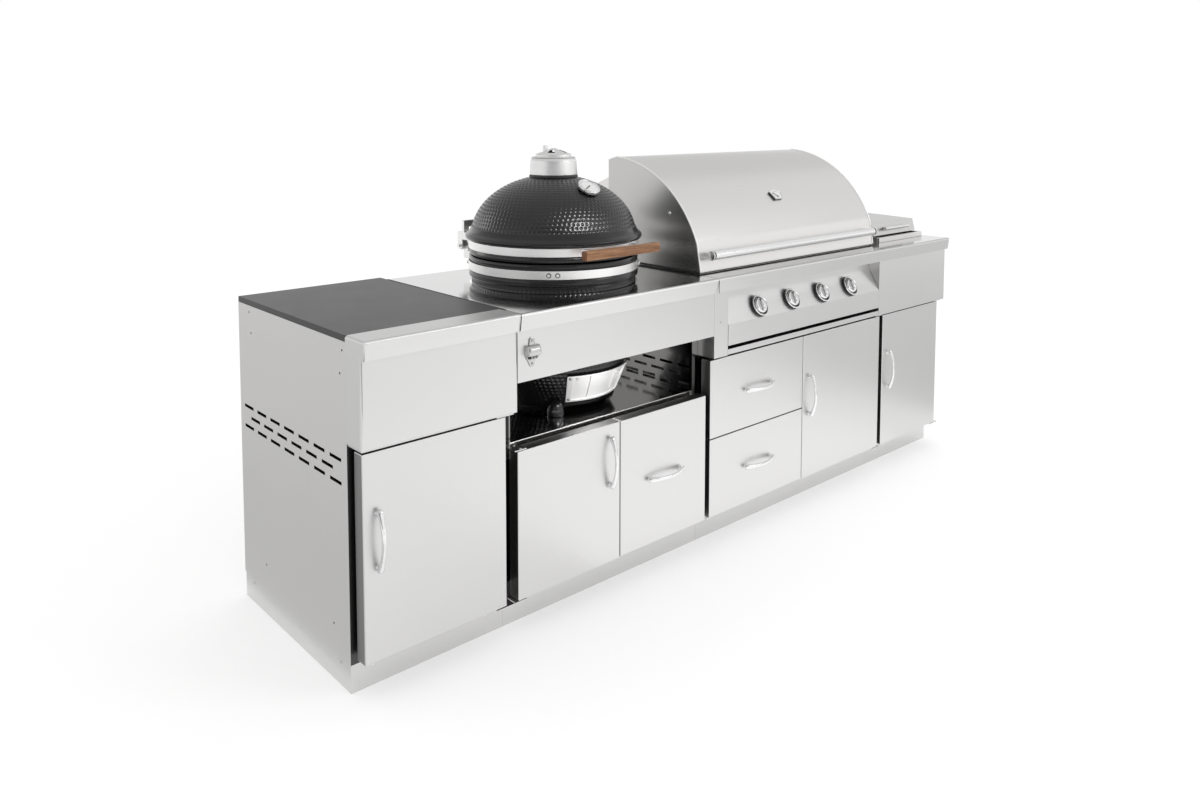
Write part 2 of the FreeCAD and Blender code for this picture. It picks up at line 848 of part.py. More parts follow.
def casing_plan():
    """Casing behind the hood: x0, x1, y0, y1, height at the front and at the back."""
    half = hood_length/2 - casing_inset
    y0 = y_hood_back + hood_end_inset
    y1 = y0 + casing_depth
    z_top = worktop_height + casing_front_height
    return x_grill_axis - half, x_grill_axis + half, y0, y1, z_top, z_top - casing_slope*casing_depth


def grill_rim_boards():
    """Flat rim on the worktop round the firebox mouth."""
    x0, x1, y0, y1 = firebox_box()
    c0, c1, d0, d1 = casing_plan()[:4]
    z0 = worktop_height
    z1 = z0 + grill_rim
    yf = y_hood + casing_inset
    return [box(c0, c1, yf, y0 + sheet, z0, z1), box(c0, c1, y1 - sheet, d1, z0, z1),
            box(c0, x0 + sheet, y0 + sheet, y1 - sheet, z0, z1),
            box(x1 - sheet, c1, y0 + sheet, y1 - sheet, z0, z1)]


def casing():
    """Side plates with hinge pins, front, back and sloping top."""
    x0, x1, y0, y1, zf, zb = casing_plan()
    z0 = worktop_height + grill_rim
    ear = y_hinge - casing_ear/2
    z_ear = z_hinge + casing_ear/2
    side = [(ear, z0), (y1, z0), (y1, zb), (y0, zf), (y0, z_ear), (ear, z_ear)]
    reach = casing_inset + hinge_pin_radius
    left = fuse([prism_x(side, x0, x0 + sheet), rod(V(x0 + sheet, y_hinge, z_hinge), V(-1, 0, 0),
                                                    hinge_pin_radius, reach)])
    right = fuse([prism_x(side, x1 - sheet, x1), rod(V(x1 - sheet, y_hinge, z_hinge), V(1, 0, 0),
                                                     hinge_pin_radius, reach)])
    drop = casing_slope*sheet
    front = box(x0 + sheet, x1 - sheet, y0, y0 + sheet, z0, zf - drop - sheet)
    back = box(x0 + sheet, x1 - sheet, y1 - sheet, y1, z0, zb - sheet)
    lid = [(y0, zf - sheet), (y1, zb - sheet), (y1, zb), (y0, zf)]
    return [left, right, front, back, prism_x(lid, x0 + sheet, x1 - sheet)]


def burner_x(i):
    """X of a burner and of the knob in front of it."""
    return x_grill_axis + (i - (burner_count - 1)/2)*burner_pitch


def burners():
    """Burner tubes between the firebox walls, and the folded flame tamers over them."""
    x0, x1, y0, y1 = firebox_box()
    z = worktop_height - burner_drop
    zt = worktop_height - tamer_drop
    solids = []
    for i in range(burner_count):
        x = burner_x(i)
        solids.append(rod(V(x, y0 + sheet, z), V(0, 1, 0), burner_tube_radius, y1 - y0 - 2*sheet))
    half = tamer_width/2
    skin = 2*sheet
    zb = zt - tamer_height
    for i in range(burner_count):
        x = burner_x(i)
        fold = [(x - half, zb), (x, zt), (x + half, zb)]
        fold += [(x + half - skin, zb), (x, zt - skin), (x - half + skin, zb)]
        points = [V(px, y0 + sheet, pz) for px, pz in fold]
        face = Part.Face(Part.makePolygon(points + points[:1]))
        solids.append(face.extrude(V(0, y1 - y0 - 2*sheet, 0)))
    return solids


def cooking_grates():
    """Cast grates side by side on the ledges."""
    x0, x1, y0, y1 = firebox_box()
    span = (x1 - x0 - 2*sheet - grate_gap)/grate_count
    z1 = worktop_height - grate_drop
    z0 = z1 - grate_height
    ya = y0 + sheet + grate_gap
    yb = y1 - sheet - grate_gap
    solids = []
    for i in range(grate_count):
        a = x0 + sheet + grate_gap + i*span
        b = a + span - grate_gap
        bars = [box(a, b, ya, ya + ledge, z0, z1), box(a, b, yb - ledge, yb, z0, z1)]
        for k in range(grate_bars):
            x = a + k*(b - a - grate_bar)/(grate_bars - 1)
            bars.append(box(x, x + grate_bar, ya, yb, z0, z1))
        solids.append(fuse(bars))
    return solids


# Control panel: an upright strip, a slope that leans out, and an upright face
panel_slope = V(0, -(panel_crease_low - panel_crease_high), panel_recess).normalize()


def knob_seat(i):
    """Point on the sloping face in the middle of a knob."""
    share = (knob_drop - panel_crease_high)/(panel_crease_low - panel_crease_high)
    return V(burner_x(i), y_apron + panel_recess*(1 - share), worktop_height - knob_drop)


def control_panel():
    yb = y_apron + panel_recess
    zh = worktop_height - panel_crease_high
    zl = worktop_height - panel_crease_low
    z0 = worktop_height - panel_height
    ease = sheet*math.tan(math.atan2(panel_recess, panel_crease_low - panel_crease_high)/2)
    skin = y_apron + sheet
    tail = y_apron + panel_return
    outline = [(yb, z_under_sheet), (yb, zh), (y_apron, zl), (y_apron, z0), (tail, z0), (tail, z0 + sheet),
               (skin, z0 + sheet), (skin, zl - ease), (yb + sheet, zh - ease), (yb + sheet, z_under_sheet)]
    panel = prism_x(outline, x_panel_left + panel_gap, x_panel_right - panel_gap)
    for i in range(burner_count):
        start = knob_seat(i) + panel_slope*10
        panel = panel.cut(rod(start, panel_slope.negative(), knob_stem_radius + stem_hole_gap, 20))
    return [panel]


def knob_bezels():
    """Raised rings round the knobs."""
    rings = []
    for i in range(burner_count):
        ring = Part.makeCone(bezel_radius, bezel_radius - 2.5, bezel_height)
        ring = ring.cut(Part.makeCylinder(bezel_bore, bezel_height))
        rings.append(carried(ring, knob_seat(i) + panel_slope*running_gap, panel_slope))
    return rings


def knob(i):
    """Knob with a grip bar and the stem that turns in the valve."""
    skirt = Part.makeCone(knob_radius, knob_radius - 2, knob_skirt, V(0, 0, knob_gap))
    half = knob_radius - knob_grip_inset
    grip = box(-knob_grip_width/2, knob_grip_width/2, -half, half,
               knob_gap + knob_skirt, knob_gap + knob_skirt + knob_grip)
    stem = rod(V(0, 0, -knob_stem_reach), V(0, 0, 1), knob_stem_radius, knob_stem_reach + knob_gap)
    return [carried(fuse([skirt, grip, stem]), knob_seat(i), panel_slope)]


def gas_manifold():
    """Supply pipe with a valve behind each knob."""
    back = panel_slope.negative()
    x0 = burner_x(0) - manifold_overhang
    reach = burner_x(burner_count - 1) + manifold_overhang - x0
    end = knob_seat(0) + back*(valve_length + manifold_radius)
    parts = [rod(V(x0, end.y, end.z), V(1, 0, 0), manifold_radius, reach)]
    for i in range(burner_count):
        start = knob_seat(i) + back*(sheet + running_gap)
        valve = rod(start, back, valve_radius, valve_length + manifold_radius)
        parts.append(valve.cut(rod(start, back, knob_stem_radius + running_clearance, knob_stem_reach)))
    return [fuse(parts)]


def tray_levels():
    """Bottom and top of the drip tray."""
    z1 = worktop_height - panel_height - tray_gap
    return z1 - tray_height, z1


def tray_span():
    """Left and right ends of the drip tray."""
    return x_panel_left + panel_gap, x_panel_right - panel_gap


def drip_tray():
    """Shallow tray whose front strip shows under the control panel."""
    x0, x1 = tray_span()
    z0, z1 = tray_levels()
    y1 = y_apron + tray_depth
    front = box(x0, x1, y_apron, y_apron + 2*sheet, z0, z1)
    pan = box(x0, x1, y_apron, y1, z0, z0 + tray_wall)
    pan = pan.cut(box(x0 + sheet, x1 - sheet, y_apron + sheet, y1 - sheet, z0 + sheet, z0 + tray_wall))
    return [fuse([front, pan])]


# Hood
def hood_centre():
    """Y and Z of the centre of the hood's curve, a radius from the flange's top and from the ridge."""
    half = math.hypot(hood_ridge_run, hood_rise)/2
    across = math.sqrt(hood_radius**2 - half**2)
    y = y_flange + hood_ridge_run/2 + across*hood_rise/(2*half)
    z = z_flange + hood_rise/2 - across*hood_ridge_run/(2*half)
    return y, z


def hood_arc(inset):
    """Start, middle and end of the hood's curve, moved inwards by an inset."""
    yc, zc = hood_centre()
    radius = hood_radius - inset
    start = math.atan2(z_flange - zc, y_flange - yc)
    end = math.atan2(z_flange + hood_rise - zc, y_ridge - yc)
    angles = (start, (start + end)/2, end)
    return [(yc + radius*math.cos(a), zc + radius*math.sin(a)) for a in angles]


def hood_outline(inset, x):
    """Edges of the hood's profile in the plane at x, from the flange foot over the ridge to the back."""
    a, b, c = [V(x, y, z) for y, z in hood_arc(inset)]
    foot = V(x, y_hood + inset, z_hood)
    tail = V(x, y_hood_back, c.z - hood_chamfer_drop)
    return foot, a, b, c, tail


def hood_shell():
    """Curved shell and the two end plates inside it."""
    half = hood_length/2
    x0 = x_grill_axis - half
    foot, a, b, c, tail = hood_outline(0, x0)
    foot_in, a_in, b_in, c_in, tail_in = hood_outline(sheet, x0)
    edges = [segment(foot, a), arc(a, b, c), segment(c, tail), segment(tail, tail_in),
             segment(tail_in, c_in), arc(c_in, b_in, a_in), segment(a_in, foot_in), segment(foot_in, foot)]
    shell = prism_edges(edges, V(hood_length, 0, 0))
    inwards = gauge_normal().negative()
    shell = shell.cut(rod(gauge_seat() - inwards, inwards, gauge_stem_radius + stem_hole_gap, gauge_stem))
    return [shell, hood_end(x0 + hood_end_inset), hood_end(x0 + hood_length - hood_end_inset - sheet)]


def hood_end(x):
    """End plate with a bore for the hinge pin."""
    foot, a, b, c, tail = hood_outline(sheet, x)
    heel = V(x, y_hood_back, z_hood)
    edges = [segment(foot, a), arc(a, b, c), segment(c, tail), segment(tail, heel), segment(heel, foot)]
    plate = prism_edges(edges, V(sheet, 0, 0))
    bore = hinge_pin_radius + running_clearance
    return plate.cut(rod(V(x - 1, y_hinge, z_hinge), V(1, 0, 0), bore, sheet + 2))


def flange_y(z):
    """Y of the hood's flat flange at a height."""
    return y_hood + hood_flange_lean*(z - z_hood)/hood_flange_height


def hood_handle():
    """Tube in two end blocks that stand on the flange."""
    z = z_hood + hood_tube_height
    y = flange_y(z) - hood_tube_standoff
    half = hood_tube_length/2
    tube = rod(V(x_grill_axis - half + hood_block_width/2, y, z), V(1, 0, 0), hood_tube_radius,
               hood_tube_length - hood_block_width)
    z0 = z - hood_block_height/2
    z1 = z + hood_block_height/2
    yf = y - hood_tube_radius - hood_block_lead/2
    block = [(yf, z0 + hood_block_lead), (yf, z1 - hood_block_lead), (yf + hood_block_lead, z1),
             (flange_y(z1), z1), (flange_y(z0), z0), (yf + hood_block_lead, z0)]
    solids = [tube]
    for x in (x_grill_axis - half, x_grill_axis + half - hood_block_width):
        solids.append(prism_x(block, x, x + hood_block_width).cut(tube))
    return solids


def gauge_normal():
    """Outward direction of the hood's skin at the thermometer."""
    up = (z_hood + gauge_rise - hood_centre()[1])/hood_radius
    return V(0, -math.sqrt(1 - up*up), up)


def gauge_seat():
    """Point on the hood's skin under the thermometer."""
    yc, zc = hood_centre()
    return V(x_grill_axis, yc, zc) + gauge_normal()*hood_radius


def hood_gauge():
    """Fan-shaped thermometer body with its stem through the skin."""
    top = gauge_top/2
    foot = gauge_foot/2
    half = gauge_height/2
    edges = [segment(V(-foot, -half, 0), V(foot, -half, 0)), segment(V(foot, -half, 0), V(top, half, 0)),
             arc(V(top, half, 0), V(0, half + gauge_crown, 0), V(-top, half, 0)),
             segment(V(-top, half, 0), V(-foot, -half, 0))]
    body = prism_edges(edges, V(0, 0, gauge_thickness))
    stem = rod(V(0, 0, -gauge_stem), V(0, 0, 1), gauge_stem_radius, gauge_stem)
    whole = fuse([body, stem]).cut(spindle_bore(-half/2, gauge_thickness))
    return [carried(whole, gauge_seat() + gauge_normal()*running_gap, gauge_normal())]


def spindle_bore(y, z):
    """Blind bore for a needle's spindle, down from a face at z."""
    reach = needle_spindle + 2*running_gap
    return rod(V(0, y, z), V(0, 0, -1), needle_spindle_radius + running_clearance, reach)


def needle(reach, cold_angle):
    """Pointer with its spindle below it, turned back from +Y to the cold end of its scale."""
    bar = box(-needle_width/2, needle_width/2, -needle_width*2, reach, 0, needle_thickness)
    bar.rotate(V(0, 0, 0), V(0, 0, 1), cold_angle)
    reach_down = needle_spindle + needle_thickness
    spindle = rod(V(0, 0, -needle_spindle), V(0, 0, 1), needle_spindle_radius, reach_down)
    return fuse([bar, spindle])


def gauge_needle_axis():
    """Point where the hood needle turns."""
    drop = carried(Part.Vertex(0, -gauge_height/4, gauge_thickness + running_gap),
                   gauge_seat() + gauge_normal()*running_gap, gauge_normal())
    return drop.Vertexes[0].Point


def hood_needle():
    return [carried(needle(gauge_needle, gauge_cold_angle), gauge_needle_axis(), gauge_normal())]


# Side burner
def side_frame_box():
    """Plan of the side burner's rim: x0, x1, y0, y1."""
    x1 = x_right - side_right_margin
    y0 = y_front + side_front
    return x1 - side_length, x1, y0, y0 + side_depth


def side_pan_box():
    """Plan of the pan inside the rim."""
    x0, x1, y0, y1 = side_frame_box()
    return x0 + side_rim_width, x1 - side_rim_width, y0 + side_rim_width, y1 - side_rim_width


def side_burner():
    """Rim boards on the worktop, pan in the cut-out, burner head, trivet and hinge pins."""
    x0, x1, y0, y1 = side_frame_box()
    a0, a1, b0, b1 = side_pan_box()
    z0 = worktop_height
    z1 = z0 + side_rim_height
    rim = [box(x0, x1, y0, b0, z0, z1), box(x0, x1, b1, y1, z0, z1),
           box(x0, a0, b0, b1, z0, z1), box(a1, x1, b0, b1, z0, z1)]
    zp = z0 - side_pan_depth
    walls = [box(a0, a1, b0, b0 + sheet, zp, z1), box(a0, a1, b1 - sheet, b1, zp, z1),
             box(a0, a0 + sheet, b0 + sheet, b1 - sheet, zp, z1),
             box(a1 - sheet, a1, b0 + sheet, b1 - sheet, zp, z1),
             box(a0 + sheet, a1 - sheet, b0 + sheet, b1 - sheet, zp, zp + sheet)]
    xm = (x0 + x1)/2
    ym = (y0 + y1)/2
    base = zp + sheet
    head = fuse([rod(V(xm, ym, base), V(0, 0, 1), side_burner_neck, side_burner_height),
                 rod(V(xm, ym, base + side_burner_height), V(0, 0, 1), side_burner_radius, trivet_bar)])
    zt = z1 - trivet_height - 2
    bars = []
    for shift in (-side_burner_radius, side_burner_radius):
        bars.append(box(a0 + sheet, a1 - sheet, ym + shift - trivet_bar/2, ym + shift + trivet_bar/2,
                        zt, zt + trivet_height))
        bars.append(box(xm + shift - trivet_bar/2, xm + shift + trivet_bar/2, b0 + sheet, b1 - sheet,
                        zt, zt + trivet_height))
    return rim + walls + [head, fuse(bars)] + side_ears()


def side_lid_plan():
    """Lid outline: x0, x1, front and back, bottom and pivot."""
    x0, x1, y0, y1 = side_frame_box()
    z0 = worktop_height + side_rim_height + side_lid_gap
    return x0 + side_lid_inset, x1 - side_lid_inset, y0 + side_lid_setback, y1 - side_lid_tail, z0


def side_pivot():
    """Y and Z of the lid's hinge axis."""
    y1 = side_lid_plan()[3]
    return y1 - side_pin_height, side_lid_plan()[4] + side_pin_height


def side_ears():
    """Ears on the rim beside the lid's ends, each with a pin that points inwards."""
    x0, x1 = side_lid_plan()[:2]
    y, z = side_pivot()
    z0 = worktop_height + side_rim_height
    half = side_pin_height
    ears = []
    for x, way in ((x0 - running_gap, 1), (x1 + running_gap, -1)):
        outer = x - way*side_ear
        ear = box(min(x, outer), max(x, outer), y - half, y + half, z0, z + half)
        pin = rod(V(x, y, z), V(way, 0, 0), side_pin_radius, running_gap + 2*sheet)
        ears.append(fuse([ear, pin]))
    return ears


def side_lid():
    """Pressed lid with a sloping front, and its tube handle on two posts."""
    x0, x1, y0, y1, z0 = side_lid_plan()
    z1 = z0 + side_lid_height
    rise = side_lid_rise
    outer = [(y0, z0), (y0 + side_lid_lean, z1), (y1, z1 + rise), (y1, z0)]
    inner = [(y0 + sheet, z0 - 1), (y0 + sheet + side_lid_lean, z1 - sheet), (y1 - sheet, z1 + rise - sheet),
             (y1 - sheet, z0 - 1)]
    shell = prism_x(outer, x0, x1).cut(prism_x(inner, x0 + sheet, x1 - sheet))
    y, z = side_pivot()
    for x in (x0, x1 - sheet):
        shell = shell.cut(rod(V(x - 1, y, z), V(1, 0, 0), side_pin_radius + running_clearance, sheet + 2))
    zt = z0 + side_tube_height
    face = y0 + side_lid_lean*side_tube_height/side_lid_height
    yt = face - side_tube_standoff
    xm = (x0 + x1)/2
    half = side_tube_length/2
    tube = rod(V(xm - half, yt, zt), V(1, 0, 0), side_tube_radius, side_tube_length)
    solids = [shell, tube]
    lean = side_lid_lean/side_lid_height
    r = side_post_half
    for x in (xm - half + side_tube_radius, xm + half - 3*side_tube_radius):
        post = [(yt, zt - r), (face - lean*r, zt - r), (face + lean*r, zt + r), (yt, zt + r)]
        solids.append(prism_x(post, x, x + 2*side_tube_radius).cut(tube))
    return solids


# Kamado
def ellipse_edge(radius, rise, z_mid, z0, z1):
    """Edge of an upright ellipse on the -Y side of the kamado's axis, between two heights."""
    centre = V(x_kamado_axis, y_kamado_axis, z_mid)
    if rise > radius:
        curve = Part.Ellipse(centre + V(0, 0, rise), centre + V(0, -radius, 0), centre)
    else:
        curve = Part.Ellipse(centre + V(0, -radius, 0), centre + V(0, 0, rise), centre)
    a = curve.parameter(V(x_kamado_axis, y_kamado_axis - ellipse_radius(radius, rise, z_mid, z0), z0))
    b = curve.parameter(V(x_kamado_axis, y_kamado_axis - ellipse_radius(radius, rise, z_mid, z1), z1))
    if abs(a - b) > math.pi:
        if a < b:
            a += 2*math.pi
        else:
            b += 2*math.pi
    return Part.ArcOfEllipse(curve, min(a, b), max(a, b)).toShape()


def ellipse_radius(radius, rise, z_mid, z):
    """Radius of that ellipse at a height."""
    t = (z - z_mid)/rise
    return radius*math.sqrt(max(0.0, 1 - t*t))


def kp(r, z):
    """Point on the -Y side of the kamado's axis."""
    return V(x_kamado_axis, y_kamado_axis - r, z)


def round_kamado(radius, angle, z):
    """Point at a radius and an angle, counted from +X, round the kamado's axis."""
    a = math.radians(angle)
    return V(x_kamado_axis + radius*math.cos(a), y_kamado_axis + radius*math.sin(a), z)


bowl_bottom = shelf_height + bowl_lift
bowl_inner_radius = bowl_radius - ceramic_wall
foot_circle = ellipse_radius(bowl_radius, bowl_rise, bowl_waist, bowl_bottom) + foot_reach
cup_bottom = bowl_bottom + bowl_floor
cup_top = cup_bottom + cup_height
cup_bottom_radius = ellipse_radius(bowl_inner_radius, bowl_rise, bowl_waist, cup_bottom) - cup_gap
cup_top_radius = ellipse_radius(bowl_inner_radius, bowl_rise, bowl_waist, cup_top) - cup_gap
ring_radius = bowl_inner_radius - ring_gap
kamado_grate_radius = bowl_inner_radius - kamado_grate_gap
bowl_top = split_height - split_gap/2
dome_bottom = split_height + split_gap/2


def bowl_outer(gap):
    """Solid of the bowl's outside, grown by a gap."""
    radius = bowl_radius + gap
    foot = ellipse_radius(radius, bowl_rise, bowl_waist, bowl_bottom - gap)
    rim = rim_radius + gap
    side = ellipse_edge(radius, bowl_rise, bowl_waist, bowl_bottom - gap, bowl_waist)
    edges = [segment(kp(0, bowl_bottom - gap), kp(foot, bowl_bottom - gap)), side,
             segment(kp(radius, bowl_waist), kp(radius, rim_bottom - gap)),
             segment(kp(radius, rim_bottom - gap), kp(rim, rim_bottom - gap)),
             segment(kp(rim, rim_bottom - gap), kp(rim, bowl_top)),
             segment(kp(rim, bowl_top), kp(0, bowl_top)), segment(kp(0, bowl_top), kp(0, bowl_bottom - gap))]
    return turned_edges(edges, x_kamado_axis, y_kamado_axis)


def bowl():
    """Ceramic bowl with the draft port through its front."""
    radius = bowl_inner_radius
    floor = cup_bottom
    foot = ellipse_radius(radius, bowl_rise, bowl_waist, floor)
    side = ellipse_edge(radius, bowl_rise, bowl_waist, floor, bowl_waist)
    top = bowl_top + 1
    edges = [segment(kp(0, floor), kp(foot, floor)), side, segment(kp(radius, bowl_waist), kp(radius, top)),
             segment(kp(radius, top), kp(0, top)), segment(kp(0, top), kp(0, floor))]
    inside = turned_edges(edges, x_kamado_axis, y_kamado_axis)
    return [bowl_outer(0).cut(inside).cut(draft_port())]


def draft_port():
    """Air port through the front of the bowl and the inner firebox."""
    half = ellipse_radius(bowl_radius, bowl_rise, bowl_waist, draft_bottom)*math.sin(
        math.radians(draft_window_half_angle))
    z0 = cup_bottom + 2*draft_rail_height
    port = box(x_kamado_axis - half, x_kamado_axis + half, y_kamado_axis - bowl_radius,
               y_kamado_axis - cup_bottom_radius/2, z0, draft_top - 2*draft_rail_height)
    return port.rotated(V(x_kamado_axis, y_kamado_axis, 0), V(0, 0, 1), draft_turn)


def feet():
    """Feet that cup the bowl's lower edge, the first one a gap from the draft frame's left end."""
    solids = []
    shape = bowl_outer(running_gap)
    frame_end = draft_turn - draft_half_angle - 90
    first = frame_end - math.degrees((foot_radius + foot_gap)/foot_circle)
    for i in range(foot_count):
        angle = first + 360*i/foot_count
        foot = rod(round_kamado(foot_circle, angle, shelf_height), V(0, 0, 1), foot_radius, foot_height)
        solids.append(foot.cut(shape))
    return solids


def band(z0):
    """Flat ring round the ceramic."""
    inner = rim_radius + band_gap
    outer = inner + band_thickness
    return turned([(inner, z0), (outer, z0), (outer, z0 + band_width), (inner, z0 + band_width)],
                  x_kamado_axis, y_kamado_axis)


def round_band(shape):
    """Cuts a bracket to the band's outside."""
    radius = rim_radius + band_gap + band_thickness
    return shape.cut(rod(V(x_kamado_axis, y_kamado_axis, bowl_bottom), V(0, 0, 1), radius, lip_top))


def band_back(x):
    """Y of the ceramic's back at a distance in X from the kamado's axis."""
    return y_kamado_axis + math.sqrt(rim_radius**2 - x*x)


def arm_spans(spread):
    """X spans of the left and right arm of a hinge bracket with this outer width."""
    a = x_kamado_axis - spread/2
    b = x_kamado_axis + spread/2
    return [(a, a + knuckle_width), (b - knuckle_width, b)]


def lower_band():
    """Band of the bowl, its bolts, and the two hinge arms with the pin."""
    solids = [band(lower_band_bottom)]
    outer = rim_radius + band_gap + band_thickness
    z = lower_band_bottom + band_width/2
    for angle in bolt_angles:
        for shift in (-bolt_pitch/2, bolt_pitch/2):
            a = math.radians(angle - 90) + shift/outer
            way = V(math.cos(a), math.sin(a), 0)
            start = V(x_kamado_axis, y_kamado_axis, z) + way*outer
            bolt = rod(start - way*band_thickness, way, bolt_radius, band_thickness + bolt_height)
            solids.append(round_band(bolt))
    z0 = lower_band_bottom
    arms = [rod(V(x_kamado_axis - kamado_pin_length/2, y_kamado_pivot, z_kamado_pivot), V(1, 0, 0),
                kamado_pin_radius, kamado_pin_length)]
    for lo, hi in arm_spans(base_spread):
        arms.append(box(lo, hi, band_back(base_spread/2), y_kamado_pivot, z0, z0 + band_width))
        arms.append(box(lo, hi, y_kamado_pivot - knuckle_radius, y_kamado_pivot + knuckle_radius, z0,
                        z_kamado_pivot))
        arms.append(rod(V(lo, y_kamado_pivot, z_kamado_pivot), V(1, 0, 0), knuckle_radius, knuckle_width))
    solids.append(round_band(fuse(arms)))
    return solids


def insert():
    """Inner firebox, fire ring and cooking grate, stacked in the bowl."""
    z0 = cup_bottom
    z1 = cup_top
    cup = turned([(cup_bottom_radius - cup_wall, z0 + cup_wall), (0, z0 + cup_wall), (0, z0),
                  (cup_bottom_radius, z0), (cup_top_radius, z1), (cup_top_radius - cup_wall, z1)],
                 x_kamado_axis, y_kamado_axis)
    cup = cup.cut(draft_port())
    ring = turned([(ring_radius - ring_wall, z1), (ring_radius, z1), (ring_radius, ring_top),
                   (ring_radius - ring_wall, ring_top)], x_kamado_axis, y_kamado_axis)
    w = kamado_grate_bar
    edge = turned([(kamado_grate_radius - w, ring_top), (kamado_grate_radius, ring_top),
                   (kamado_grate_radius, ring_top + w), (kamado_grate_radius - w, ring_top + w)],
                  x_kamado_axis, y_kamado_axis)
    bars = [edge]
    for i in range(kamado_grate_count):
        x = (i - (kamado_grate_count - 1)/2)*2*(kamado_grate_radius - 3*w)/(kamado_grate_count - 1)
        reach = math.sqrt((kamado_grate_radius - w/2)**2 - x*x)
        bars.append(box(x_kamado_axis + x - w/2, x_kamado_axis + x + w/2, y_kamado_axis - reach,
                        y_kamado_axis + reach, ring_top, ring_top + w))
    return [cup, ring, fuse(bars)]


# Draft frame: a cone that stands just off the bowl
draft_foot_radius = ellipse_radius(bowl_radius, bowl_rise, bowl_waist, draft_bottom)
draft_head_radius = ellipse_radius(bowl_radius, bowl_rise, bowl_waist, draft_top)
draft_lean = (draft_head_radius - draft_foot_radius)/(draft_top - draft_bottom)


def bowl_bulge():
    """How far the bowl swells past a straight line from the frame's foot to its head."""
    t = math.atan(-draft_lean*bowl_rise/bowl_radius)
    z = bowl_waist + bowl_rise*math.sin(t)
    return bowl_radius*math.cos(t) - draft_foot_radius - draft_lean*(z - draft_bottom)


draft_stand_off = bowl_bulge() + running_gap


def cone_outline(z0, z1, inner, outer):
    """Corners of a sloping strip, as (radius, z), at two distances off that line."""
    a = draft_foot_radius + draft_lean*(z0 - draft_bottom)
    b = draft_foot_radius + draft_lean*(z1 - draft_bottom)
    return [(a + inner, z0), (a + outer, z0), (b + outer, z1), (b + inner, z1)]


def cone_strip(z0, z1, inner, outer, start, end):
    """Part of that cone between two angles from the frame's middle, counted to the right."""
    outline = cone_outline(z0, z1, inner, outer)
    return turned(outline, x_kamado_axis, y_kamado_axis, end - start, start + draft_turn)


def draft_frame():
    """Plate with a window, and a raised border that guides and stops the draft door."""
    a = draft_half_angle
    inner = draft_stand_off
    outer = inner + draft_plate
    plate = cone_strip(draft_bottom, draft_top, inner, outer, -a, a)
    w = draft_window_half_angle
    z0 = draft_bottom + 2*draft_rail_height
    z1 = draft_top - 2*draft_rail_height
    plate = plate.cut(cone_strip(z0, z1, inner - draft_plate, outer + draft_plate, -w, w))
    low = cone_strip(draft_bottom, draft_bottom + draft_rail_height, outer, outer + draft_rail, -a, a)
    high = cone_strip(draft_top - draft_rail_height, draft_top, outer, outer + draft_rail, -a, a)
    e = draft_end_angle
    left = cone_strip(draft_bottom, draft_top, outer, outer + draft_rail, -a, e - a)
    right = cone_strip(draft_bottom, draft_top, outer, outer + draft_rail, a - e, a)
    return [fuse([plate, low, high, left, right])]


def draft_door():
    """Curved door that slides between the rails, with a small tab to push."""
    inner = draft_stand_off + draft_plate + running_gap
    z0 = draft_bottom + draft_rail_height + running_gap
    z1 = draft_top - draft_rail_height - running_gap
    a = draft_door_half_angle
    outer = inner + draft_door_plate
    plate = cone_strip(z0, z1, inner, outer, -a, a)
    tab = cone_strip(z0 + draft_tab, z1 - draft_tab, outer, outer + draft_tab, a - draft_tab_angle, a)
    return [fuse([plate, tab])]


def dome():
    """Ceramic dome with a rolled lip, a flat seat for the chimney and a hole for the thermometer."""
    top = ellipse_radius(dome_radius, dome_rise, dome_spring, dome_cut)
    shoulder = ellipse_radius(dome_radius, dome_rise, dome_spring, lip_top)
    outside = ellipse_edge(dome_radius, dome_rise, dome_spring, lip_top, dome_cut)
    wall = ceramic_wall
    inner_radius = dome_radius - wall
    inner_rise = dome_rise - wall
    z_in = dome_spring + inner_rise*math.sqrt(1 - (vent_bore/inner_radius)**2)
    inside = ellipse_edge(inner_radius, inner_rise, dome_spring, dome_spring, z_in)
    middle = kp(lip_radius, lip_height)
    edges = [segment(kp(inner_radius, dome_bottom), kp(rim_radius, dome_bottom)),
             segment(kp(rim_radius, dome_bottom), kp(rim_radius, lip_bottom)),
             segment(kp(rim_radius, lip_bottom), kp(lip_radius - 5, lip_bottom)),
             arc(kp(lip_radius - 5, lip_bottom), middle, kp(lip_radius - 3, lip_height + 6)),
             segment(kp(lip_radius - 3, lip_height + 6), kp(shoulder, lip_top)), outside,
             segment(kp(top, dome_cut), kp(vent_bore, dome_cut)),
             segment(kp(vent_bore, dome_cut), kp(vent_bore, z_in)),
             inside, segment(kp(inner_radius, dome_spring), kp(inner_radius, dome_bottom))]
    solid = turned_edges(edges, x_kamado_axis, y_kamado_axis)
    start = dial_seat() + dial_normal()*10
    return [solid.cut(rod(start, dial_normal().negative(), dial_stem_radius + 1, 2*ceramic_wall))]


def dial_normal():
    """Outward direction of the dome at the thermometer."""
    z = dial_seat().z - dome_spring
    return V(0, -dial_reach/dome_radius**2, z/dome_rise**2).normalize()


def dial_seat():
    """Point on the dome under the thermometer."""
    z = dome_spring + dome_rise*math.sqrt(1 - (dial_reach/dome_radius)**2)
    return kp(dial_reach, z)


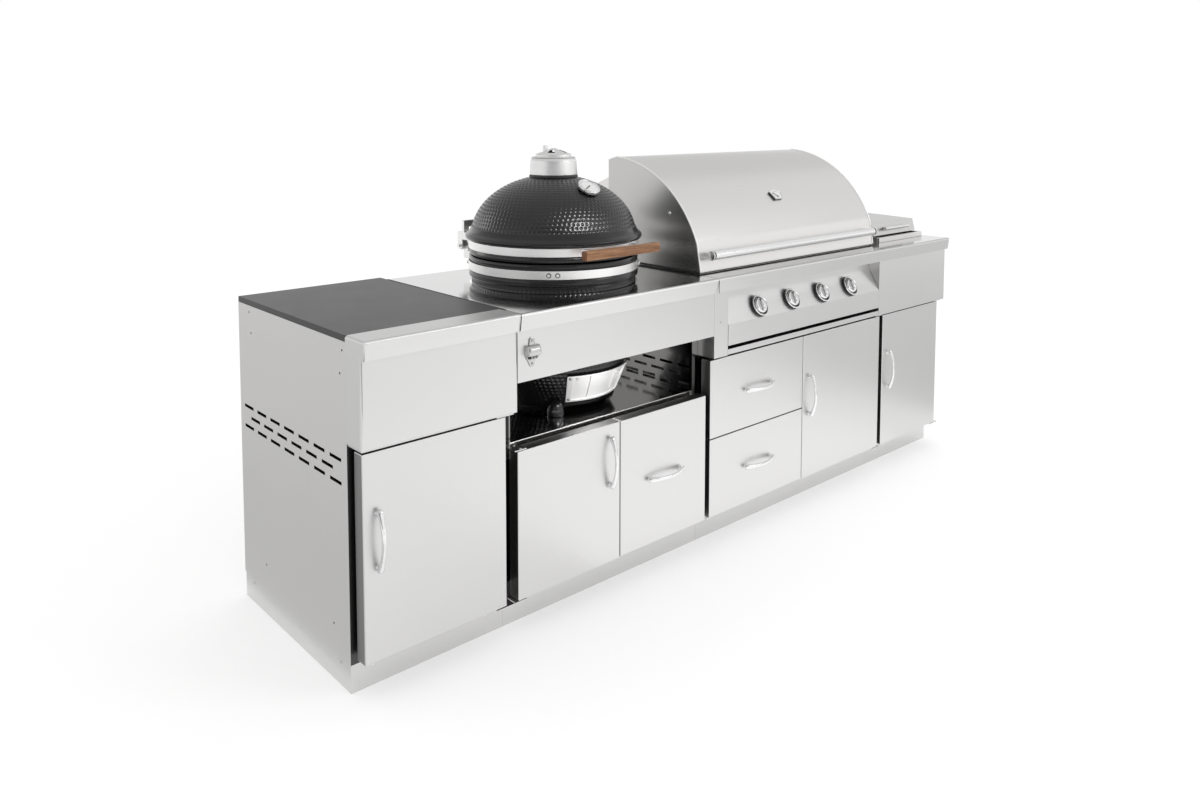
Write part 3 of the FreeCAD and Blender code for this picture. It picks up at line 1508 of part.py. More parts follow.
def dome_thermometer():
    """Round body with a recessed face and a stem through the dome."""
    body = rod(V(0, 0, 0), V(0, 0, 1), dial_radius, dial_thickness)
    face = V(0, 0, dial_thickness - dial_recess)
    body = body.cut(rod(face, V(0, 0, 1), dial_radius - dial_recess, dial_recess))
    stem = rod(V(0, 0, -ceramic_wall), V(0, 0, 1), dial_stem_radius, ceramic_wall)
    whole = fuse([body, stem]).cut(spindle_bore(0, dial_thickness - dial_recess))
    return [carried(whole, dial_seat() + dial_normal()*running_gap, dial_normal())]


def dial_needle_axis():
    """Point where the dome needle turns."""
    return dial_seat() + dial_normal()*(dial_thickness - dial_recess + 2*running_gap)


def dome_needle():
    return [carried(needle(dial_needle, dial_cold_angle), dial_needle_axis(), dial_normal())]


def upper_band():
    """Band of the dome, the two hinge arms with their spring bar, and the two handle brackets."""
    x = x_kamado_axis
    solids = [band(upper_band_bottom)]
    z0 = upper_band_bottom
    z1 = z0 + band_width
    bore = rod(V(x - kamado_pin_length, y_kamado_pivot, z_kamado_pivot), V(1, 0, 0),
               kamado_pin_radius + running_clearance, 2*kamado_pin_length)
    y0 = band_back(arm_spread/2)
    bar_front = y_kamado_axis + lip_radius + spring_bar_depth/2
    z_bar = split_height + spring_bar_lift
    arms = []
    for lo, hi in arm_spans(arm_spread):
        arm = box(lo, hi, y0, y_kamado_pivot, z0, z1)
        heel = y_kamado_pivot + knuckle_radius
        drop = box(lo, hi, heel - 2*knuckle_radius, heel, z_kamado_pivot, z1)
        knuckle = rod(V(lo, y_kamado_pivot, z_kamado_pivot), V(1, 0, 0), knuckle_radius, knuckle_width)
        riser = box(lo, hi, bar_front, bar_front + spring_bar_depth, z0, z_bar)
        arms += [arm, drop, knuckle, riser]
    half = spring_bar_length/2
    bar = box(x - half, x + half, bar_front, bar_front + spring_bar_depth, z_bar, z_bar + spring_bar_height)
    solids.append(round_band(fuse(arms + [bar]).cut(bore)))
    zw = z0 + band_width/2 + wood_lift
    for way in (-1, 1):
        xb = x + way*wood_bracket_spread/2
        post = box(xb - wood_bracket_width/2, xb + wood_bracket_width/2, wood_back(), y_kamado_axis,
                   zw - wood_bracket_height/2, zw + wood_bracket_height/2)
        solids.append(round_band(post))
    return solids


def wood_back():
    """Y of the wooden handle's back face."""
    return y_kamado_axis - rim_radius - band_gap - band_thickness - wood_standoff


def wood_handle():
    """Bar with eased edges."""
    z = upper_band_bottom + band_width/2 + wood_lift
    half = wood_length/2
    bar = box(x_kamado_axis - half, x_kamado_axis + half, wood_back() - wood_thickness, wood_back(),
              z - wood_height/2, z + wood_height/2)
    return [bar.makeFillet(wood_round, bar.Edges)]


def chimney():
    """Cast collar with a bored hub across it for the vent wheel."""
    z0 = dome_cut
    z1 = z0 + collar_height
    tube = turned([(collar_bore, z0), (collar_radius, z0), (collar_radius, z1), (collar_bore, z1)],
                  x_kamado_axis, y_kamado_axis)
    # The seat inside the collar rests on the flat top of the dome.
    zs = z0 + hub_bar
    seat = turned([(vent_bore, z0), (collar_bore, z0), (collar_bore, zs), (vent_bore, zs)],
                  x_kamado_axis, y_kamado_axis)
    zb = z1 - 2*hub_bar
    reach = (collar_bore + collar_radius)/2
    bar = box(x_kamado_axis - reach, x_kamado_axis + reach, y_kamado_axis - hub_bar/2,
              y_kamado_axis + hub_bar/2, zb, zb + hub_bar)
    hub = rod(V(x_kamado_axis, y_kamado_axis, zb), V(0, 0, 1), hub_radius, hub_bar)
    bore_radius = wheel_pin_radius + running_clearance
    bore = rod(V(x_kamado_axis, y_kamado_axis, zb - 1), V(0, 0, 1), bore_radius, 2*hub_bar)
    return [fuse([tube, seat, bar, hub]).cut(bore)]


def vent_wheel():
    """Disc with a ring of holes, a low crown, a lever post and the pin it turns on."""
    z0 = dome_cut + collar_height + running_gap
    z1 = z0 + wheel_thickness
    z2 = z1 + wheel_crown
    disc = turned([(0, z0), (wheel_foot_radius, z0), (wheel_radius, z1), (wheel_crown_radius, z2), (0, z2)],
                  x_kamado_axis, y_kamado_axis)
    for i in range(wheel_holes):
        angle = wheel_post_angle + (i + 0.5)*360/wheel_holes
        hole = round_kamado(wheel_hole_circle, angle, z0 - 1)
        disc = disc.cut(rod(hole, V(0, 0, 1), wheel_hole_radius, z2 - z0 + 2))
    foot = round_kamado(wheel_post_circle, wheel_post_angle, z0)
    half = wheel_post/2
    post = box(foot.x - half, foot.x + half, foot.y - half, foot.y + half, z0, z0 + wheel_post_height)
    reach = 2*hub_bar
    pin_foot = V(x_kamado_axis, y_kamado_axis, z0 - reach)
    pin = rod(pin_foot, V(0, 0, 1), wheel_pin_radius, reach + wheel_thickness)
    return [fuse([disc, post, pin])]


nodes = {
    "end_case": end_case(),
    "kamado_case": kamado_case(),
    "grill_case": grill_case(),
    "burner_case": burner_case(),
    "plinths": plinths(),
    "stone_top": stone_top(),
    "end_front": end_front(),
    "kamado_worktop": kamado_worktop(),
    "kamado_apron": kamado_apron(),
    "kamado_shelf": kamado_shelf(),
    "bottle_opener": bottle_opener(),
    "grill_worktop": grill_worktop(),
    "control_surround": control_surround(),
    "door_pivots": door_pivots(),
    "runners": runners(),
    "panel_screws": panel_screws(),
    "grill_firebox": firebox(),
    "control_panel": control_panel(),
    "knob_bezels": knob_bezels(),
    "gas_manifold": gas_manifold(),
    "grill_burners": burners(),
    "cooking_grates": cooking_grates(),
    "kamado_bowl": bowl(),
    "kamado_feet": feet(),
    "lower_band": lower_band(),
    "kamado_insert": insert(),
    "draft_frame": draft_frame(),
    "side_burner": side_burner(),
    "end_door": door(end_span[0], end_span[1], end_door_top, True),
    "end_door_handle": upright_handle(end_span, True),
    "kamado_door": door(kamado_door_span[0], kamado_door_span[1], kamado_door_top, False),
    "kamado_door_handle": upright_handle(kamado_door_span, False),
    "grill_door": door(grill_door_span[0], grill_door_span[1], front_door_top, True),
    "grill_door_handle": upright_handle(grill_door_span, True),
    "burner_door": door(burner_span[0], burner_span[1], front_door_top, True),
    "burner_door_handle": upright_handle(burner_span, True),
    "tall_drawer": drawer(tall_drawer_span, tall_drawer_sides, *drawer_heights["tall"]),
    "tall_drawer_handle": level_handle(tall_drawer_span, *drawer_heights["tall"]),
    "upper_drawer": drawer(grill_drawer_span, grill_drawer_sides, *drawer_heights["upper"]),
    "upper_drawer_handle": level_handle(grill_drawer_span, *drawer_heights["upper"]),
    "lower_drawer": drawer(grill_drawer_span, grill_drawer_sides, *drawer_heights["lower"]),
    "lower_drawer_handle": level_handle(grill_drawer_span, *drawer_heights["lower"]),
    "drip_tray": drip_tray(),
    "hood_shell": hood_shell(),
    "hood_handle": hood_handle(),
    "hood_thermometer": hood_gauge(),
    "hood_needle": hood_needle(),
    "side_lid": side_lid(),
    "kamado_dome": dome(),
    "upper_band": upper_band(),
    "wood_handle": wood_handle(),
    "chimney": chimney(),
    "vent_wheel": vent_wheel(),
    "dome_thermometer": dome_thermometer(),
    "dome_needle": dome_needle(),
    "draft_door": draft_door(),
}
for i in range(burner_count):
    nodes["knob_" + str(i + 1)] = knob(i)

os.makedirs("parts", exist_ok=True)
for name, solids in nodes.items():
    shape = solids[0] if len(solids) == 1 else Part.makeCompound(solids)
    shape.exportStep(os.path.join("parts", name + ".step"))
print(len(nodes), "nodes,", sum(len(solids) for solids in nodes.values()), "solids")
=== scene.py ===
# %% [markdown]
# # An outdoor kitchen in steel, stone and glazed clay
# The object is a row of four steel cabinets: one with a stone slab, one with a kamado sunk into its top,
# one with a gas grill under a curved hood, and one with a small side burner. Its sizes and joints come
# ready made as a fixed frame, so this lesson gives the frame its finishes, and swaps the pieces that need
# rounder or finer shapes for meshes built in code.

# %% Load the frame
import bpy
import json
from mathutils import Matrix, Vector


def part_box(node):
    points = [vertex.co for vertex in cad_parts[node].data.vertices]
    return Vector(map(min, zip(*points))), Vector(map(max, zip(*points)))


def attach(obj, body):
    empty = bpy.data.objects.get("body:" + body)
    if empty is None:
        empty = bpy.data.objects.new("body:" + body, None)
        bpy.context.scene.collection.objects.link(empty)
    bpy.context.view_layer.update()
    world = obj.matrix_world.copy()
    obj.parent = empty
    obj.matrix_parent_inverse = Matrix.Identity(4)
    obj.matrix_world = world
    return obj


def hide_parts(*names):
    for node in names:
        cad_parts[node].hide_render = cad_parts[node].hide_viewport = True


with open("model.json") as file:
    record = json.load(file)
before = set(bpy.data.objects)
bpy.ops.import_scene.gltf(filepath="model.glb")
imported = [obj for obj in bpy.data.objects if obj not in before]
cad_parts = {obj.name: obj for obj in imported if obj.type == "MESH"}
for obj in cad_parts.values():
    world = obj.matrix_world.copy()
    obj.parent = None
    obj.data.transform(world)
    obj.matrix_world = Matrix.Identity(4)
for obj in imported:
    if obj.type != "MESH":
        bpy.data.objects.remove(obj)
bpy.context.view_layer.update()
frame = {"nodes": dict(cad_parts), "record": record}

# %% Tools and units
import json
import math

import bmesh
import bpy
from mathutils import Vector

mm = 0.001
scene = bpy.context.scene

# %% [markdown]
# ## The camera
# The photograph looks along the row from its left end, from a little above the worktop. The steel edges
# run to clear vanishing points, so place, direction and focal length follow from them. A small upward
# crop was made in the picture, which the camera's vertical shift repeats.

# %% Camera at the photograph's place
camera_place = Vector((-2435.9, -2331.7, 1432.3))*mm
turn_right = math.radians(41.78)
pitch_down = math.radians(4.094)
camera_data = bpy.data.cameras.new("camera")
camera_data.sensor_width = 36.0
camera_data.lens = 28.29
camera_data.shift_x = 0.0096
camera_data.shift_y = -0.1831
camera = bpy.data.objects.new("camera", camera_data)
camera.location = camera_place
camera.rotation_euler = (math.pi/2 - pitch_down, 0, -turn_right)
scene.collection.objects.link(camera)
scene.camera = camera
print("camera height", round(camera_place.z, 3), "m, lens", camera_data.lens, "mm")

# %% [markdown]
# ## Writing shader sums as Python
# A material is a net of nodes. Long nets read badly as calls, so a small class stands for one socket:
# adding or multiplying two wires adds the Math node that does it, and one method adds any other node.

# %% The wire
class Wire:
    """One socket of a material's node tree. Sums on wires add Math nodes."""

    def __init__(self, tree, socket=None):
        self.tree = tree
        self.socket = socket

    def node(self, kind, sockets=None, output=0, **settings):
        """Adds a node, sets its settings, then fills its sockets with values or links."""
        made = self.tree.nodes.new("ShaderNode" + kind)
        for name, value in settings.items():
            setattr(made, name, value)
        for name, value in (sockets or {}).items():
            if isinstance(value, Wire):
                self.tree.links.new(value.socket, made.inputs[name])
            else:
                made.inputs[name].default_value = value
        return Wire(self.tree, made.outputs[output])

    def sum(self, operation, first, second=0.0):
        return self.node("Math", {0: first, 1: second}, operation=operation)

    def __add__(self, other):
        return self.sum("ADD", self, other)

    def __sub__(self, other):
        return self.sum("SUBTRACT", self, other)

    def __rsub__(self, other):
        return self.sum("SUBTRACT", other, self)

    def __mul__(self, other):
        return self.sum("MULTIPLY", self, other)

    def __abs__(self):
        return self.sum("ABSOLUTE", self)

    def over(self, edge):
        """1 where the value is above the edge, 0 elsewhere."""
        return self.sum("GREATER_THAN", self, edge)

    def clamp(self):
        return self.node("Clamp", {"Value": self})

    __radd__ = __add__
    __rmul__ = __mul__


def mix(low, high, share):
    """A colour between two, through a Mix node. Its sockets for colours are told apart by number alone."""
    factor, first, second, result = 0, 6, 7, 2
    return share.node("Mix", {factor: share, first: low, second: high}, result, data_type="RGBA")


print("wire operators ready")

# %% [markdown]
# ## Starting a material
# Every finish here is one Principled shader. The function below makes it, sets the constants on its own
# sockets and hands back the tree's first wire, which says where a point is, in metres.

# %% A blank material
def finish(name, **constants):
    """A new material, its shader, and a wire for the place of a point."""
    material = bpy.data.materials.new(name)
    material.use_nodes = True
    tree = material.node_tree
    shader = tree.nodes["Principled BSDF"]
    for socket, value in constants.items():
        shader.inputs[socket.replace("_", " ")].default_value = value
    return material, shader, Wire(tree).node("TexCoord", output="Object")


def feed(shader, **wires):
    """Links wires to the shader's sockets."""
    for name, wire in wires.items():
        wire.tree.links.new(wire.socket, shader.inputs[name.replace("_", " ")])


def stretched(place, scale, detail=2.0, rough=0.5):
    """Noise in 0..1 whose grain is scaled apart along X, Y and Z."""
    at = place.node("Mapping", {"Vector": place, "Scale": scale})
    return at.node("TexNoise", {"Vector": at, "Scale": 1.0, "Detail": detail, "Roughness": rough})


def bumped(height, strength, distance):
    """A normal from a height wire."""
    return height.node("Bump", {"Height": height, "Strength": strength, "Distance": distance})


def grey(value, warm=0.0):
    """A grey, tipped to warm or cool, as a colour."""
    return (value*(1 + warm), value, value*(1 - warm), 1.0)


print("material helpers ready")

# %% [markdown]
# ## Brushed sheet steel
# The fronts and sides are stainless sheet, brushed lengthways at the mill. The brushing shows as hair
# lines along the sheet, and the sheet's slight waviness as pale clouds. Bands of noise stretched along X
# and Y would vanish on one of the two kinds of face, so upright faces and level faces each get their own.
# The cases stand in the shade of their doors, so their front edges, and one flank, get painted shade: a
# darker grey.

# %% Brushed steel
facing_edge = 0.7


def part_of(vector, axis):
    """The part of a vector along X, Y or Z."""
    return vector.node("SeparateXYZ", {"Vector": vector}, axis)


def facing_along(place, axis):
    """How far a surface faces along X, Y or Z, from -1 to 1."""
    return part_of(place.node("NewGeometry", output="Normal"), axis)


def brushed(name, tone, warm, rough, cloud=0.05, line=0.06, rim=1.0, scratch=0.12, left_shade=1.0, front_shade_left_of=None):
    """Brushed steel of a tone. Painted shade tones front faces by rim, up to a place, and left faces by
    left_shade.
    """
    material, shader, place = finish(name, Metallic=1.0)
    up = abs(facing_along(place, "Z")).over(facing_edge)
    front = (facing_along(place, "Y")*-1).over(facing_edge)
    left = (facing_along(place, "X")*-1).over(facing_edge)
    if front_shade_left_of is not None:
        front = front*(1 - part_of(place, "X").over(front_shade_left_of))
    upright = stretched(place, (3, 3, 900), 3.0, 0.6)
    level = stretched(place, (3, 900, 3), 3.0, 0.6)
    hair = upright*(1 - up) + level*up
    waves = stretched(place, (2.2, 2.2, 3.1), 3.0, 0.55)
    shade = ((waves - 0.5)*cloud*2 + (hair - 0.5)*line + 0.5).clamp()
    sheet = mix(grey(tone*0.8, warm), grey(tone*1.2, warm), shade)
    # Painted shade: front faces, up to a place, and left faces take a darker grey for the shade they stand
    # in.
    if rim < 1:
        sheet = mix(sheet, grey(tone*rim), front)
    if left_shade < 1:
        sheet = mix(sheet, grey(tone*left_shade), left)
    feed(shader, Base_Color=sheet, Roughness=(hair - 0.5)*scratch + (waves - 0.5)*0.06 + rough,
         Normal=bumped(hair, 0.05, scratch*0.003))
    return material


steel_panel = brushed("brushed_panel_steel", 0.70, 0.006, 0.33)
# The cases get painted shade on their front edges, and the grill case on its left flank as well.
steel_case = brushed("case_steel", 0.69, 0.010, 0.33, rim=0.12)
steel_grill_case = brushed("grill_case_steel", 0.69, 0.010, 0.33, rim=0.12, left_shade=0.05)
# Painted shade: a dark copy of the sheet steel, for returns that lie in the shade of a door or a worktop.
steel_painted_shade = brushed("painted_shade_steel", 0.26, 0.010, 0.36)
steel_hood = brushed("brushed_hood_steel", 0.77, 0.012, 0.30)
steel_end = brushed("hood_end_steel", 0.56, 0.010, 0.28, 0.03, 0.03, scratch=0.02)
# Painted shade: the bay's walls are a darker copy of the sheet steel, for the shade inside the bay, and the
# left wall's front edge is darker still.
steel_bay_painted_shade = brushed("bay_steel_painted_shade", 0.27, 0.010, 0.12, 0.03, 0.02, rim=0.12, front_shade_left_of=-0.9)
steel_worktop = brushed("polished_worktop_steel", 0.61, 0.004, 0.10, 0.03, 0.02)
steel_band = brushed("bright_band_steel", 0.96, 0.006, 0.38, 0.10, 0.16)
steel_shelf = brushed("shelf_steel", 0.80, 0.010, 0.10, 0.03, 0.02)
steel_draft = brushed("draft_plate_steel", 0.94, 0.004, 0.52, 0.05, 0.05)
steel_lid = brushed("side_lid_steel", 0.62, 0.008, 0.32)
print("steels:", steel_panel.name, steel_hood.name, steel_worktop.name, steel_band.name)

# %% [markdown]
# ## Bright metal, castings and tube
# Knobs, handles and bezels are chromed: nearly a mirror, with faint wipe marks. The chimney and the
# opener are light castings, a little rough, and the burner tubes are plain tube that heat has darkened.

# %% Chrome, cast metal and burner tube
def plain_metal(name, tone, warm, rough, grain, depth):
    material, shader, place = finish(name, Metallic=1.0)
    specks = stretched(place, (grain, grain, grain), 3.0)
    wipes = stretched(place, (14, 14, 60), 2.0)
    feed(shader, Base_Color=mix(grey(tone*0.9, warm), grey(tone*1.05, warm), specks),
         Roughness=(wipes - 0.5)*rough*0.8 + rough, Normal=bumped(specks, 0.2, depth))
    return material


chrome = plain_metal("chrome", 0.86, 0.0, 0.09, 90, 0.00002)
cast_alloy = plain_metal("cast_alloy", 0.84, 0.003, 0.42, 500, 0.00010)
cast_iron = plain_metal("enamelled_iron", 0.06, 0.0, 0.45, 700, 0.0003)
burner_steel = plain_metal("burner_steel", 0.45, 0.03, 0.35, 120, 0.00005)
cast_steel = plain_metal("cast_steel", 0.60, 0.004, 0.24, 260, 0.00008)


def drawn_tube():
    """Tube that lies along X, with the fine lines of drawing along it."""
    material, shader, place = finish("drawn_tube_steel", Metallic=1.0)
    lines = stretched(place, (2, 600, 600), 3.0, 0.6)
    feed(shader, Base_Color=mix(grey(0.82), grey(0.92), lines), Roughness=lines*0.08 + 0.20,
         Normal=bumped(lines, 0.05, 0.0002))
    return material


tube_steel = drawn_tube()
print("metals:", chrome.name, cast_alloy.name, cast_iron.name, burner_steel.name)

# %% [markdown]
# ## Stone, clay and glaze
# The slab is black stone with a honed polish: from the low camera it mirrors the bright room and so looks
# grey, while its edge looks black. The kamado's glaze is black glass over clay, and its liner is bare clay.

# %% Stone, glaze and clay
def honed_stone():
    material, shader, place = finish("honed_stone", IOR=1.5)
    crystals = stretched(place, (420, 420, 420), 4.0, 0.7)
    drifts = stretched(place, (9, 9, 9), 3.0)
    feed(shader, Base_Color=mix(grey(0.010), grey(0.030), crystals),
         Roughness=(crystals - 0.5)*0.08 + (drifts - 0.5)*0.06 + 0.36, Normal=bumped(crystals, 0.05, 0.0001))
    return material


def black_glaze():
    material, shader, place = finish("black_glaze", IOR=1.45, Coat_Weight=0.25, Coat_Roughness=0.10)
    pools = stretched(place, (60, 60, 60), 3.0)
    specks = stretched(place, (700, 700, 700), 2.0)
    feed(shader, Base_Color=mix(grey(0.004), grey(0.010), pools),
         Roughness=(pools - 0.5)*0.10 + 0.24, Normal=bumped(specks, 0.06, 0.0002))
    return material


def fire_clay_finish():
    material, shader, place = finish("fire_clay")
    sand = stretched(place, (350, 350, 350), 4.0, 0.7)
    soot = stretched(place, (12, 12, 12), 3.0)
    feed(shader, Base_Color=mix((0.30, 0.25, 0.20, 1), (0.52, 0.45, 0.37, 1), sand*0.5 + soot*0.5),
         Roughness=sand*0.2 + 0.7, Normal=bumped(sand, 0.4, 0.0006))
    return material


stone = honed_stone()
glaze = black_glaze()
fire_clay = fire_clay_finish()
print("minerals:", stone.name, glaze.name, fire_clay.name)

# %% [markdown]
# ## Oiled wood
# The kamado's handle is a reddish hardwood bar. Its grain runs along the bar, which lies along X, so broad
# bands, fine streaks and short dark pores are all noise that is stretched along X.

# %% Wood
def oiled_wood():
    material, shader, place = finish("oiled_wood", IOR=1.45)
    bend = stretched(place, (6, 90, 90), 3.0)
    streaks = stretched(place, (9, 420, 420), 3.0, 0.6)
    pores = stretched(place, (60, 1500, 1500), 2.0, 0.7)
    tone = ((streaks - 0.5)*1.5 + (bend - 0.5)*1.6 + 0.5).clamp()
    base = mix((0.13, 0.046, 0.017, 1), (0.56, 0.285, 0.130, 1), tone)
    ends = abs(facing_along(place, "X")).over(0.6)
    side = mix(base, (0.10, 0.034, 0.015, 1), pores.over(0.60)*0.5)
    feed(shader, Base_Color=mix(side, (0.14, 0.050, 0.022, 1), ends*0.7),
         Roughness=pores*0.2 + 0.38, Normal=bumped(pores, 0.2, 0.0003))
    return material


wood = oiled_wood()
print("wood:", wood.name)

# %% [markdown]
# ## Black paint
# Needles are painted black, and seams and washers are black; in shaded hollows and gaps the same paint
# stands as painted shade. A plain colour would look cut out of the picture, so fine specks vary its tone and
# gloss.

# %% Black paint for needles and seams
def black_paint():
    material, shader, place = finish("black_paint")
    specks = stretched(place, (900, 900, 900), 2.0)
    feed(shader, Base_Color=mix(grey(0.012), grey(0.03), specks), Roughness=specks*0.2 + 0.35)
    return material


needle_black = black_paint()
print("paint:", needle_black.name)

# %% [markdown]
# ## Finishes on the frame
# Each node of the frame names the kind of material it is made of. One table could name a finish for every
# node, but most share a kind, so the table goes by kind, and a second one has the few nodes that are polished
# otherwise or stand in shade, whose steel carries painted shade.

# %% Give every node of the frame its finish
finishes = {
    "steel_panel": steel_panel, "steel_worktop": steel_worktop, "steel_hood": steel_hood,
    "bright_metal": chrome, "band_steel": steel_band, "stone": stone, "ceramic": glaze,
    "fire_clay": fire_clay, "cast_iron": cast_iron, "burner_steel": burner_steel, "cast_alloy": cast_alloy,
    "wood": wood, "needle": needle_black,
}
slot_of = {row["node"]: row["material_slot"] for row in frame["record"]["subparts"]}
for node, obj in frame["nodes"].items():
    obj.data.materials.clear()
    obj.data.materials.append(finishes[slot_of[node]])
special = {
    "kamado_case": steel_bay_painted_shade, "end_case": steel_case, "grill_case": steel_grill_case,
    "burner_case": steel_case, "draft_frame": steel_draft, "draft_door": steel_draft,
    "side_lid": steel_lid, "kamado_shelf": steel_shelf,
}
for node, finish_of_node in special.items():
    frame["nodes"][node].data.materials[0] = finish_of_node
print("painted", len(slot_of), "nodes,", len(special), "of them with a finish of their own")

# %% [markdown]
# ## Pieces that stand in for frame nodes
# A node has the true size and place, but its corners are knife sharp and its curves are plain. Each piece
# below takes the place of one node and rides on that node's body. Points are given in millimetres, in the
# row's own frame, so a piece goes where its drawing says, with no fitting afterwards.

# %% Placing a piece
body_of = {node: body for body, nodes in frame["record"]["behaviour"]["bodies"].items() for node in nodes}
made = []


def set_in(name, mesh, node, material, stands=True):
    """Links a piece, paints it, and lets it ride with a node's body, in the node's stead or beside it."""
    obj = bpy.data.objects.new(name, mesh)
    scene.collection.objects.link(obj)
    mesh.materials.append(material)
    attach(obj, body_of[node])
    if stands:
        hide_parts(node)
    made.append(name)
    return obj


def skin(name, form, node, material, stands=True, crease=40):
    """A piece from points and faces, smooth except at edges sharper than the crease."""
    points, faces = form
    mesh = bpy.data.meshes.new(name)
    mesh.from_pydata([Vector(p)*mm for p in points], [], faces)
    net = bmesh.new()
    net.from_mesh(mesh)
    bmesh.ops.recalc_face_normals(net, faces=net.faces)
    net.to_mesh(mesh)
    net.free()
    mesh.shade_smooth()
    mesh.set_sharp_from_angle(angle=math.radians(crease))
    return set_in(name, mesh, node, material, stands)


print("bodies to ride on:", len(set(body_of.values())))

# %% [markdown]
# ## Sheet metal with folded edges
# A folded sheet has a small round at each bend, which catches the light as a bright line. A bevel modifier
# would round the thin inner rims too and spoil them, so a copy of the node is welded, its flat faces are
# joined up, and only outer edges between two broad faces are rounded. Returns that lie in the shade of a
# door or a worktop get painted shade, a darker copy of the steel, chosen face by face from the way they face.

# %% Easing a node's edges
sharp_angle, flat_angle = math.radians(35), math.radians(1)
weld_reach = 1e-5
broad_share = 2.5


def eased(node, width, material=None, steps=3):
    """A copy of a node whose sharp outer edges are rounded by a width in millimetres."""
    net = bmesh.new()
    net.from_mesh(frame["nodes"][node].data)
    bmesh.ops.remove_doubles(net, verts=net.verts, dist=weld_reach)
    bmesh.ops.dissolve_limit(net, angle_limit=flat_angle, verts=net.verts, edges=net.edges)
    broad = {face: face.calc_area()/max(edge.calc_length() for edge in face.edges) for face in net.faces}
    sharp = [edge for edge in net.edges if len(edge.link_faces) == 2 and edge.is_convex
             and edge.calc_face_angle(0.0) > sharp_angle
             and min(broad[face] for face in edge.link_faces) > broad_share*width*mm]
    bmesh.ops.bevel(net, geom=sharp, offset=width*mm, segments=steps, profile=0.5, affect="EDGES",
                    clamp_overlap=True)
    mesh = bpy.data.meshes.new(node + "_eased")
    net.to_mesh(mesh)
    net.free()
    mesh.shade_smooth()
    mesh.set_sharp_from_angle(angle=sharp_angle)
    obj = set_in(node + "_eased", mesh, node, material or special.get(node, finishes[slot_of[node]]))
    weighted = obj.modifiers.new("weighted", "WEIGHTED_NORMAL")
    weighted.keep_sharp = True
    weighted.weight = 80
    return obj


print("edges sharper than", round(math.degrees(sharp_angle)), "degrees are rounded")

# %% Folded sheet
def repaint(piece, pick, *materials):
    """Adds finishes to a piece, and gives each face the one that pick chooses by its normal."""
    for material in materials:
        piece.data.materials.append(material)
    for face in piece.data.polygons:
        face.material_index = pick(face.normal)


doors = ("end_door", "kamado_door", "grill_door", "burner_door")
drawers = ("tall_drawer", "upper_drawer", "lower_drawer")
bends = dict.fromkeys(doors + drawers, 2.5) | {
    "end_front": 8.0, "kamado_apron": 2.0, "kamado_worktop": 8.0, "grill_worktop": 8.0, "control_panel": 2.0,
    "control_surround": 2.0, "kamado_shelf": 2.0, "plinths": 1.0, "side_lid": 2.5, "side_burner": 1.5,
    "drip_tray": 1.5, "stone_top": 1.5, "lower_band": 0.8, "upper_band": 0.8, "draft_frame": 0.8,
    "draft_door": 0.6,
}
for node, width in bends.items():
    piece = eased(node, width)
    # Painted shade: the undersides of the worktops and the surround, and the edge returns of doors and
    # drawers, get the dark steel.
    if node in ("kamado_worktop", "grill_worktop"):
        repaint(piece, lambda n: 0 if n.z > 0.9 else 1 + (n.z < -0.6), steel_panel, steel_painted_shade)
    elif node == "control_surround":
        repaint(piece, lambda n: int(n.z < -0.6), steel_painted_shade)
    elif node in doors + drawers:
        repaint(piece, lambda n: int(max(abs(n.x), abs(n.z)) > 0.97), steel_painted_shade)
print("eased", len(bends), "nodes")

# %% [markdown]
# ## Skins
# Most other pieces are skins over rows of points: a turned piece has a circle for each row, a bar has an
# oval at each step along its path. One function joins the rows, whatever made them.

# %% Rows to skins
def rings(rows, capped=True):
    """Joins rows of equally many points round a tube, and closes its two ends."""
    count = len(rows[0])
    points = [p for row in rows for p in row]
    faces = []
    for k in range(len(rows) - 1):
        for i in range(count):
            j = (i + 1) % count
            faces.append((k*count + i, k*count + j, (k + 1)*count + j, (k + 1)*count + i))
    if capped:
        faces.append(tuple(range(count)))
        faces.append(tuple(range(len(points) - count, len(points))))
    return points, faces


def turned(profile, origin, axis=(0, 0, 1), steps=72, capped=True):
    """(radius, height) pairs turned about an axis."""
    up = Vector(axis).normalized()
    guide = Vector((0, 1, 0)) if abs(up.x) > 0.9 else Vector((1, 0, 0))
    side = (guide - up*guide.dot(up)).normalized()
    front = up.cross(side)
    rows = []
    for radius, height in profile:
        middle = Vector(origin) + up*height
        turns = [2*math.pi*i/steps for i in range(steps)]
        rows.append([middle + (side*math.cos(a) + front*math.sin(a))*radius for a in turns])
    return rings(rows, capped)


def joined(*forms):
    """Several skins as one."""
    points, faces = [], []
    for more, sides in forms:
        base = len(points)
        points += more
        faces += [tuple(base + i for i in side) for side in sides]
    return points, faces


print("rows, turned pieces and joined skins ready")

# %% Rounded lines and bars
def fillet(line, radius, steps=4):
    """Rounds the inner corners of a line of (across, up) pairs."""
    line = [Vector(p) for p in line]
    out = [line[0]]
    for before, corner, after in zip(line, line[1:], line[2:]):
        into = before - corner
        away = after - corner
        reach = min(radius, into.length*0.45, away.length*0.45)
        start = corner + into.normalized()*reach
        end = corner + away.normalized()*reach
        for k in range(steps + 1):
            t = k/steps
            out.append(start*(1 - t)**2 + corner*2*t*(1 - t) + end*t*t)
    return out + [line[-1]]


